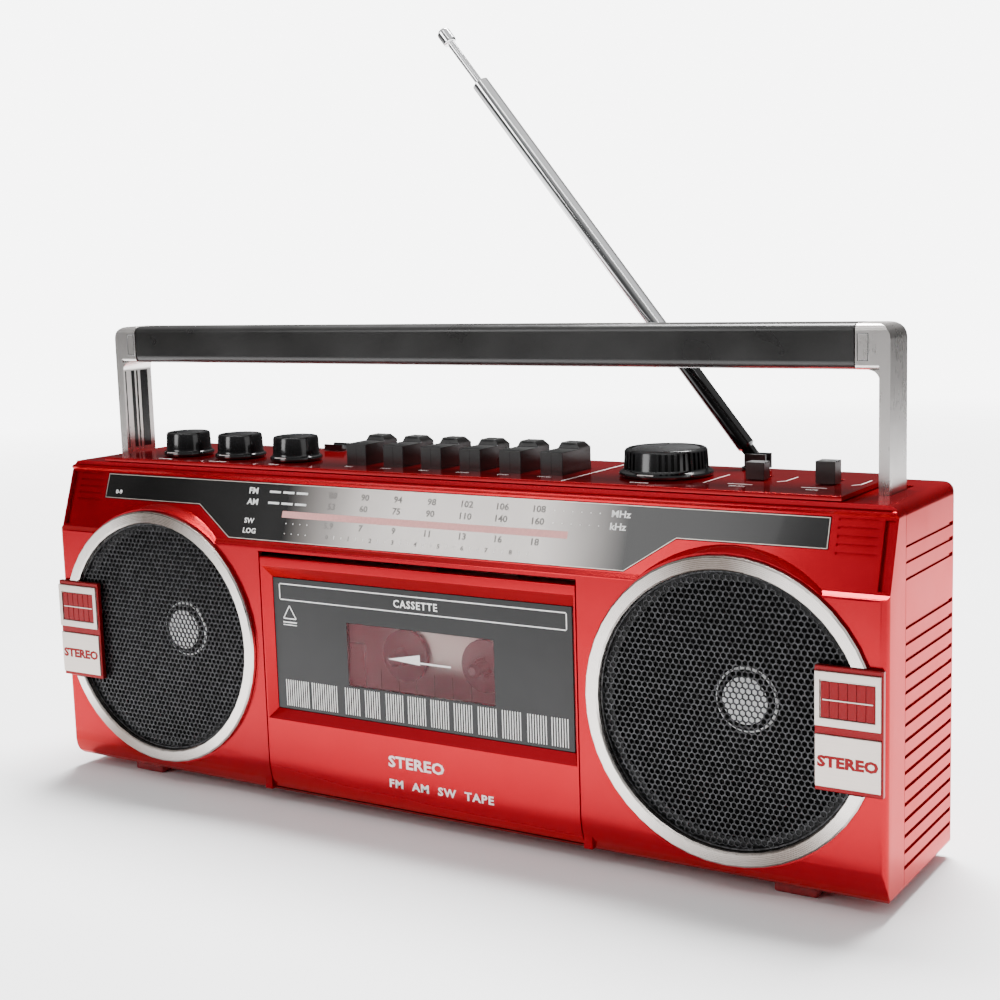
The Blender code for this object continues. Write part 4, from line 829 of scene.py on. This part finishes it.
def keys():
    part = keyPart
    half, front, step = part["width"] / 2, part["front"], part["step"]
    shelf, top = part["shelf"], part["top"]
    body = block((-half, front, part["low"]), (half, part["rear"], shelf))
    editing(body)
    selectAll()
    bpy.ops.mesh.bisect(plane_co=(0, step, 0), plane_no=(0, 1, 0))
    selectFaces(body, lambda middle, normal: normal.z > 0.9 and middle.y > step)
    bpy.ops.mesh.extrude_region_move(TRANSFORM_OT_translate={"value": (0, 0, top - shelf)})
    bpy.ops.transform.resize(value=part["taper"], center_override=(0, step + part["taperBehind"], top))
    selectAll()
    bpy.ops.mesh.bisect(plane_co=(0, 0, 0), plane_no=(1, 0, 0))
    near = 0.001 * mm
    selectEdges(body, lambda corner: abs(corner.x) < near and abs(corner.y - front) < near)
    bpy.ops.mesh.bevel(offset=part["crease"], segments=2, profile=0.0)
    leaveEditing()
    softened(body, 0.28 * mm, 2, 40)
    # painted shade: a near-black block, barely proud of the rear block's sloping face, stands in for the shade
    # in its recess
    side = half * part["recessShare"]
    (near, far), (low, high) = part["recessDepth"], part["recessRise"]
    recess = softened(block((-side, step + near, shelf + low), (side, step + far, top + high)), 0.2 * mm)
    # painted shade: a thin near-black strip, barely proud of the key's front, stands in for the shade in its
    # groove
    side = part["grooveHalf"]
    (near, far), (low, high) = part["grooveDepth"], part["grooveRise"]
    grooveShade = softened(block((-side, front + near, low), (side, front + far, high)), 0.05 * mm)
    for index, name in enumerate(part["names"]):
        offset = (part["first"] + index * part["pitch"], 0, 0)
        finished(copied(grooveShade, offset), name + "_groove", name, "key_plastic", keyDark)
        finished(copied(body, offset), name + "_finished", name, "key_plastic", keyGrey, (name,))
        finished(copied(recess, offset), name + "_recess", name, "key_plastic", keyDark)
    discard(body, recess, grooveShade)
    refined("key_guide", "cabinet", "plated_steel", steel, 0)
    print("keys ready")


def switches():
    for name in ("band_switch", "mode_switch"):
        refined(name, name, "black_plastic", keyGrey, 0.35 * mm, 3)


platePrint = dict(lengths(
    top=156, wordRise=0.02, thick=0.05, size=2.2, keyWordsY=-17,
    # white lines: (width, points)
    lines=((0.45, ((69, -25), (69, 36))), (0.35, ((125, -10), (125, 15)))),
    # lines beside each switch, from its middle
    switches=(141.2, 171.7),
    switchLines=((0.5, ((-6, -9), (4, -9))), (0.35, ((10, 2), (12.5, 5), (12.5, 17))))),
    keyWords=("REC", "PLAY", "REW", "F.FWD", "STOP", "PAUSE"),
    words=(("VOLUME", -0.152, -0.0225), ("BALANCE", -0.119, -0.0225), ("TONE", -0.085, -0.0225),
           ("TUNING", 0.101, -0.0195), ("FM AM", 0.1412, -0.015), ("TAPE", 0.1717, -0.015)))


def plateLines():
    part = platePrint
    marks = []

    def line(points, width):
        for start, end in zip(points, points[1:]):
            made = stroke(start, end, width, 0.0, part["thick"], width * 0.6)
            marks.append(placed(made, (0, 0, part["top"])))

    def word(text, x, y):
        place = (x, y, part["top"] + part["wordRise"])
        marks.append(wording(text, part["size"], place, (0, 0, 0), part["thick"], "CENTER"))

    for width, points in part["lines"]:
        line(points, width)
    for middle in part["switches"]:
        for width, points in part["switchLines"]:
            line([(middle + x, y) for x, y in points], width)
    for index, text in enumerate(part["keyWords"]):
        word(text, keyPart["first"] + index * keyPart["pitch"], part["keyWordsY"])
    for text, x, y in part["words"]:
        word(text, x, y)
    finished(joined(marks), "plate_print", "cabinet", "red_plastic", white)
    print("plate print ready")


# lens and window are edges: left, right, low, high
doorPart = dict(lengths(
    front=-34.5, lens=(-77.8, 77.8, 46, 106.5), lensThick=2, window=(-37, 39.8, 60.6, 89), paneGap=0.05,
    paneDepth=(0.02, 1.6), inkRise=0.05, inkSink=0.01,
    frame=((-74, 75, 103.6, 104.1), (-74, 75, 96.4, 96.9), (-74.5, -74, 96.9, 103.6), (75, 75.5, 96.9, 103.6)),
    barPitch=1.26, barWidth=0.46, barRise=(47.4, 59.6), word=(0.5, 98.6), wordSize=4.6, wordThick=0.1,
    eject=((-72.6, 88), (-65.4, 88), (-69, 94)), ejectWidth=0.5,
    ejectBars=((-72.9, -65.1, 86, 86.6), (-72.9, -65.1, 84.9, 85.3)),
    arrowTail=(2, 18, 74.6, 75.4), arrowHead=(-14.5, 2, 74, 78.6), arrowTip=75.2,
    firstTick=-19, tickPitch=9.4, tickWidth=0.25, tickRise=(60.5, 70.5), tickInk=0.03,
    face=-38.5, faceWordsX=-14),
    # groups of thin upright bars: (start in mm, how many)
    groups=((-73, 11), (-58.2, 12), (-39.4, 7), (-28.4, 7), (-17, 8), (-5.2, 8), (6.8, 8), (18.8, 8), (31, 8),
            (43, 8), (55.4, 8), (67, 7)),
    ticks=6, faceWords=(("STEREO", 6.8, 28.3, 1.2, 1.05, 0.03), ("FM  AM  SW  TAPE", 5, 19, 1.16, 1.16, 0.028)))


def doorPrint():
    part = doorPart
    front = part["front"]

    def bar(x0, x1, z0, z1, rise=part["inkRise"]):
        return block((x0, front - rise, z0), (x1, front + part["inkSink"], z1))

    marks = [bar(*edges) for edges in part["frame"]]
    for start, count in part["groups"]:
        for x in (start * mm + index * part["barPitch"] for index in range(count)):
            marks.append(bar(x, x + part["barWidth"], *part["barRise"]))
    place = (part["word"][0], front, part["word"][1])
    marks.append(wording("CASSETTE", part["wordSize"], place, upright, part["wordThick"], "CENTER", 1.0, 1.15))
    corners = part["eject"]
    for start, end in zip(corners, corners[1:] + corners[:1]):
        side = stroke(start, end, part["ejectWidth"], -part["inkSink"], part["inkRise"])
        marks.append(placed(side, (0, front, 0), upright))
    marks += [bar(*edges) for edges in part["ejectBars"]]
    finished(joined(marks), "lens_print", "cassette_door", "smoked_lens", white)
    head = bar(*part["arrowHead"])
    editing(head)
    selectFaces(head, lambda middle, normal: normal.x < -0.9)
    bpy.ops.transform.resize(value=(1, 1, 0.04), center_override=(0, 0, part["arrowTip"]))
    leaveEditing()
    arrow = joined([bar(*part["arrowTail"]), head])
    finished(arrow, "window_arrow", "cassette_door", "smoked_lens", white)
    ticks = [part["firstTick"] + index * part["tickPitch"] for index in range(part["ticks"])]
    ticks = [bar(x, x + part["tickWidth"], *part["tickRise"], part["tickInk"]) for x in ticks]
    finished(joined(ticks), "window_ticks", "cassette_door", "smoked_lens", darkInk)
    words = []
    for text, size, z, stretch, spacing, weight in part["faceWords"]:
        place = (part["faceWordsX"], part["face"], z * mm)
        words.append(wording(text, size * mm, place, upright, part["wordThick"], "LEFT", stretch, spacing,
                             weight))
    finished(joined(words), "door_words", "cassette_door", "red_plastic", white)


def doorLens():
    part = doorPart
    front, gap = part["front"], part["paneGap"]
    left, right, low, high = part["lens"]
    x0, x1, z0, z1 = part["window"]
    panel = block((left, front, low), (right, front + part["lensThick"], high))
    carved(panel, block((x0, front - mm, z0), (x1, front + part["lensThick"] + mm, z1)))
    smoked = ("cassette_door", "smoked_lens")
    finished(softened(panel, 0.12 * mm), "door_lens_finished", *smoked, lens, ("door_lens",))
    near, far = part["paneDepth"]
    pane = block((x0 + gap, front + near, z0 + gap), (x1 - gap, front + far, z1 - gap))
    finished(softened(pane, 0.1 * mm), "window_pane", *smoked, rosy)


def deckParts():
    for node, body, slotName, finish, edge in (
            ("cassette_holder", "cassette_door", "black_plastic", satin, 0.3),
            ("deck_chassis", "cabinet", "plated_steel", plateSilver, 0.2),
            ("takeup_reel", "takeup_reel", "black_plastic", satin, 0.15),
            ("supply_reel", "supply_reel", "black_plastic", satin, 0.15),
            ("head_bridge", "heads", "plated_steel", steel, 0.3),
            ("pinch_roller", "pinch_roller", "rubber", softRubber, 0.3),
            ("capstan_flywheel", "flywheel", "plated_steel", steel, 0.3),
            ("deck_motor", "cabinet", "plated_steel", steel, 0.8),
            ("circuit_board", "cabinet", "board_green", board, 0.1),
            ("power_transformer", "cabinet", "ferrite", ferrite, 0.8),
            ("mains_inlet", "cabinet", "black_plastic", satin, 0.3),
            ("battery_box", "cabinet", "black_plastic", satin, 0.3)):
        refined(node, body, slotName, finish, edge * mm)
    print("deck ready")


handlePart = lengths(
    inner=194.3, front=-4, rear=15.5, gripFoot=200.5, corner=4, cornerSide=0.4, cornerSink=0.2,
    # painted reflection: gloss black strips on the inner face of each arm stand in for the dark bands the
    # chrome reflects; from and to, front to back
    strips=((-2.7, -2.1), (1.4, 3.6), (4.8, 5.8), (7.6, 12.6)), stripRise=(157.6, 196), stripDepth=(-0.15, 0.3),
    window=(185.7, 190.2, 203.9, 214.4), windowDepth=(-0.05, 0.4), windowEdge=0.42, windowRecess=0.3,
    panelEdge=0.45, panelDepth=(0.12, 0.3))


def cornerFillet(sign):
    # rounds off the corner between an arm and the grip
    part = handlePart
    inner, foot, reach, sink = part["inner"], part["gripFoot"], part["corner"], part["cornerSink"]
    fillet = block((inner - reach, part["front"] + part["cornerSide"], foot - reach),
                   (inner + sink, part["rear"] - part["cornerSide"], foot + sink))
    carved(fillet, cylinder(reach, 0.06, 64, (inner - reach, 0.005, foot - reach)))
    pick(fillet)
    fillet.scale.x = sign
    editing(applied(fillet))
    selectAll()
    facedOutward()
    return softened(fillet, 0)


def handle():
    part = handlePart
    front = part["front"]
    refined("handle_grip", "handle", "black_plastic", satin, 0.5 * mm, 3)
    for side, sign in (("left", -1), ("right", 1)):
        refined("handle_arm_" + side, "handle", "chrome", warmChrome, 0.5 * mm, 3)
        # painted reflection: black strips laid on the inner face in place of reflected dark bands
        x0, x1 = sorted(sign * (part["inner"] + depth) for depth in part["stripDepth"])
        low, high = part["stripRise"]
        strips = [block((x0, y0, low), (x1, y1, high)) for y0, y1 in part["strips"]]
        strips = [softened(strip, 0.1 * mm) for strip in strips]
        finished(joined(strips), "arm_strips_" + side, "handle", "black_plastic", gloss)
        finished(cornerFillet(sign), "arm_fillet_" + side, "handle", "chrome", warmChrome)
        x0, x1 = sorted(sign * edge for edge in part["window"][:2])
        low, high = part["window"][2:]
        near, far = part["windowDepth"]
        border = block((x0, front + near, low), (x1, front + far, high))
        recessed(border, part["windowEdge"], part["windowRecess"])
        finished(softened(border, 0.06 * mm), "cap_frame_" + side, "handle", "chrome", chrome)
        edge = part["panelEdge"]
        near, far = part["panelDepth"]
        panel = block((x0 + edge, front + near, low + edge), (x1 - edge, front + far, high - edge))
        finished(softened(panel, 0.05 * mm), "cap_panel_" + side, "handle", "black_plastic", gloss)
    print("handle ready")


def aerial():
    refined("antenna_base", "antenna_mount", "black_plastic", satin, 0.3 * mm)
    refined("antenna_tube", "antenna_lower", "chrome", tubeChrome, 0.12 * mm)
    refined("antenna_section_2", "antenna_second", "chrome", chrome, 0)
    refined("antenna_section_3", "antenna_third", "chrome", chrome, 0)
    refined("antenna_rod", "antenna_top", "chrome", chrome, 0.2 * mm)
    refined("antenna_clip", "cabinet", "black_plastic", gloss, 0.3 * mm)
    print("aerial ready")


backPart = dict(lengths(
    rear=41, holes=((-195, 20), (195, 20), (-195, 140), (195, 140), (0, 146), (-70, 62), (70, 62)),
    holeRadius=3, holeDepth=3, screwSink=0.1, slot=(1.7, 0.3), slotDepth=0.75,
    screw=((0, -0.2), (1.2, -0.2), (1.9, -0.55), (2.6, -0.9), (2.6, -1.4), (0, -1.4)),
    # rows of vents: half length, depth and height of each
    ventFoot=76, ventPitch=6, ventCentre=105, vent=(48, 1.1, 2.6)), vents=10)


def backDetails():
    part = backPart
    rear = part["rear"]
    screw = spun(part["screw"], 28)
    for wide, deep in (part["slot"], part["slot"][::-1]):
        carved(screw, block((-wide, -deep, -part["slotDepth"]), (wide, deep, mm)))
    softened(screw, 0)
    screws, cutters = [], []
    for x, z in part["holes"]:
        screws.append(placed(copied(screw), (x, rear - part["screwSink"], z), (-math.pi / 2, 0, 0)))
        cutters.append(cylinder(part["holeRadius"], part["holeDepth"], 32, (x, rear, z)))
    discard(screw)
    finished(joined(screws), "back_screws", "cabinet", "plated_steel", steel)
    half, deep, high = part["vent"]
    for z in (part["ventFoot"] + row * part["ventPitch"] for row in range(part["vents"])):
        for x in (-part["ventCentre"], part["ventCentre"]):
            cutters.append(block((x - half, rear - deep, z), (x + half, rear + mm, z + high)))
    refined("rear_cabinet", "cabinet", "red_plastic", red, 0.3 * mm, 2, False, joined(cutters))
    print("back ready")


studioPart = {
    "floorSize": 4.2, "floorMiddle": (0.0, 0.1), "backdrop": 7.0, "room": 1.0,
    # brightness of the room against the height looked at
    "tones": ((0.0, 0.10), (0.03, 0.06), (0.25, 0.10), (0.55, 0.35), (0.80, 0.9)),
    "lamps": {
        "overhead": {"place": (-0.1, 0.70, 1.85), "size": (1.2, 0.8), "power": 185, "aim": (0, 0.05, 0)},
        "front key": {"place": (-1.0, -1.7, 0.9), "size": (0.7, 0.8), "power": 11, "aim": (0, 0, 0.08)},
        "edge strip": {"place": (0.1, -0.75, 1.15), "size": (1.8, 0.05), "power": 2.5, "aim": (0, 0, 0.15)},
        "side panel": {"place": (1.7, -0.2, 0.75), "size": (1.1, 0.9), "power": 4, "aim": (0.2, 0, 0.08)},
    },
    "camera": {"place": (0.3998, -0.5910, 0.2455), "right": (0.8454, 0.5333, -0.0302),
               "up": (-0.0525, 0.1393, 0.9888), "lens": 58.745, "sensor": 36.0, "near": 0.02},
}


def backdrop():
    # a white backdrop for the camera, and a softer room for the reflections
    world = bpy.data.worlds.new("Studio")
    bpy.context.scene.world = world
    world.use_nodes = True
    tree = world.node_tree
    seen = tree.nodes["Background"]
    seen.inputs["Color"].default_value = (1.0, 1.0, 1.0, 1)
    seen.inputs["Strength"].default_value = studioPart["backdrop"]
    room = tree.nodes.new("ShaderNodeBackground")
    room.inputs["Strength"].default_value = studioPart["room"]
    place = tree.nodes.new("ShaderNodeTexCoord")
    parts = tree.nodes.new("ShaderNodeSeparateXYZ")
    tones = tree.nodes.new("ShaderNodeValToRGB")
    ray = tree.nodes.new("ShaderNodeLightPath")
    mix = tree.nodes.new("ShaderNodeMixShader")
    for source, target in (
            (place.outputs["Generated"], parts.inputs[0]), (parts.outputs["Z"], tones.inputs[0]),
            (tones.outputs[0], room.inputs["Color"]), (ray.outputs["Is Camera Ray"], mix.inputs[0]),
            (room.outputs[0], mix.inputs[1]), (seen.outputs[0], mix.inputs[2]),
            (mix.outputs[0], tree.nodes["World Output"].inputs["Surface"])):
        tree.links.new(source, target)
    stops = tones.color_ramp.elements
    while len(stops) < len(studioPart["tones"]):
        stops.new(0.5)
    for stop, (height, tone) in zip(stops, studioPart["tones"]):
        stop.position = height
        stop.color = (tone, tone, tone, 1)


def lamps():
    for name, settings in studioPart["lamps"].items():
        light = bpy.data.lights.new(name, "AREA")
        light.shape = "RECTANGLE"
        light.size, light.size_y = settings["size"]
        light.energy = settings["power"]
        lamp = bpy.data.objects.new(name, light)
        bpy.context.collection.objects.link(lamp)
        lamp.location = settings["place"]
        aim = Vector(settings["aim"]) - Vector(settings["place"])
        lamp.rotation_euler = aim.to_track_quat("-Z", "Y").to_euler()


def studio():
    middle = studioPart["floorMiddle"]
    bpy.ops.mesh.primitive_plane_add(size=studioPart["floorSize"], location=(*middle, 0))
    floor = bpy.context.object
    floor.name = "floor"
    floor.data.materials.append(floorFinish(middle).material)
    backdrop()
    lamps()
    settings = studioPart["camera"]
    view = bpy.data.cameras.new("camera")
    view.lens = settings["lens"]
    view.sensor_width = settings["sensor"]
    view.clip_start = settings["near"]
    camera = bpy.data.objects.new("camera", view)
    bpy.context.collection.objects.link(camera)
    right, up = Vector(settings["right"]), Vector(settings["up"])
    turn = Matrix((right, up, right.cross(up))).transposed().to_4x4()
    camera.matrix_world = Matrix.Translation(settings["place"]) @ turn
    bpy.context.scene.camera = camera
    print("studio ready")


shells()
dial()
speakers()
badges()
for knobName, settings in knobPart["knobs"].items():
    knob(knobName, *settings)
keys()
switches()
plateLines()
doorLens()
doorPrint()
deckParts()
handle()
aerial()
backDetails()
studio()
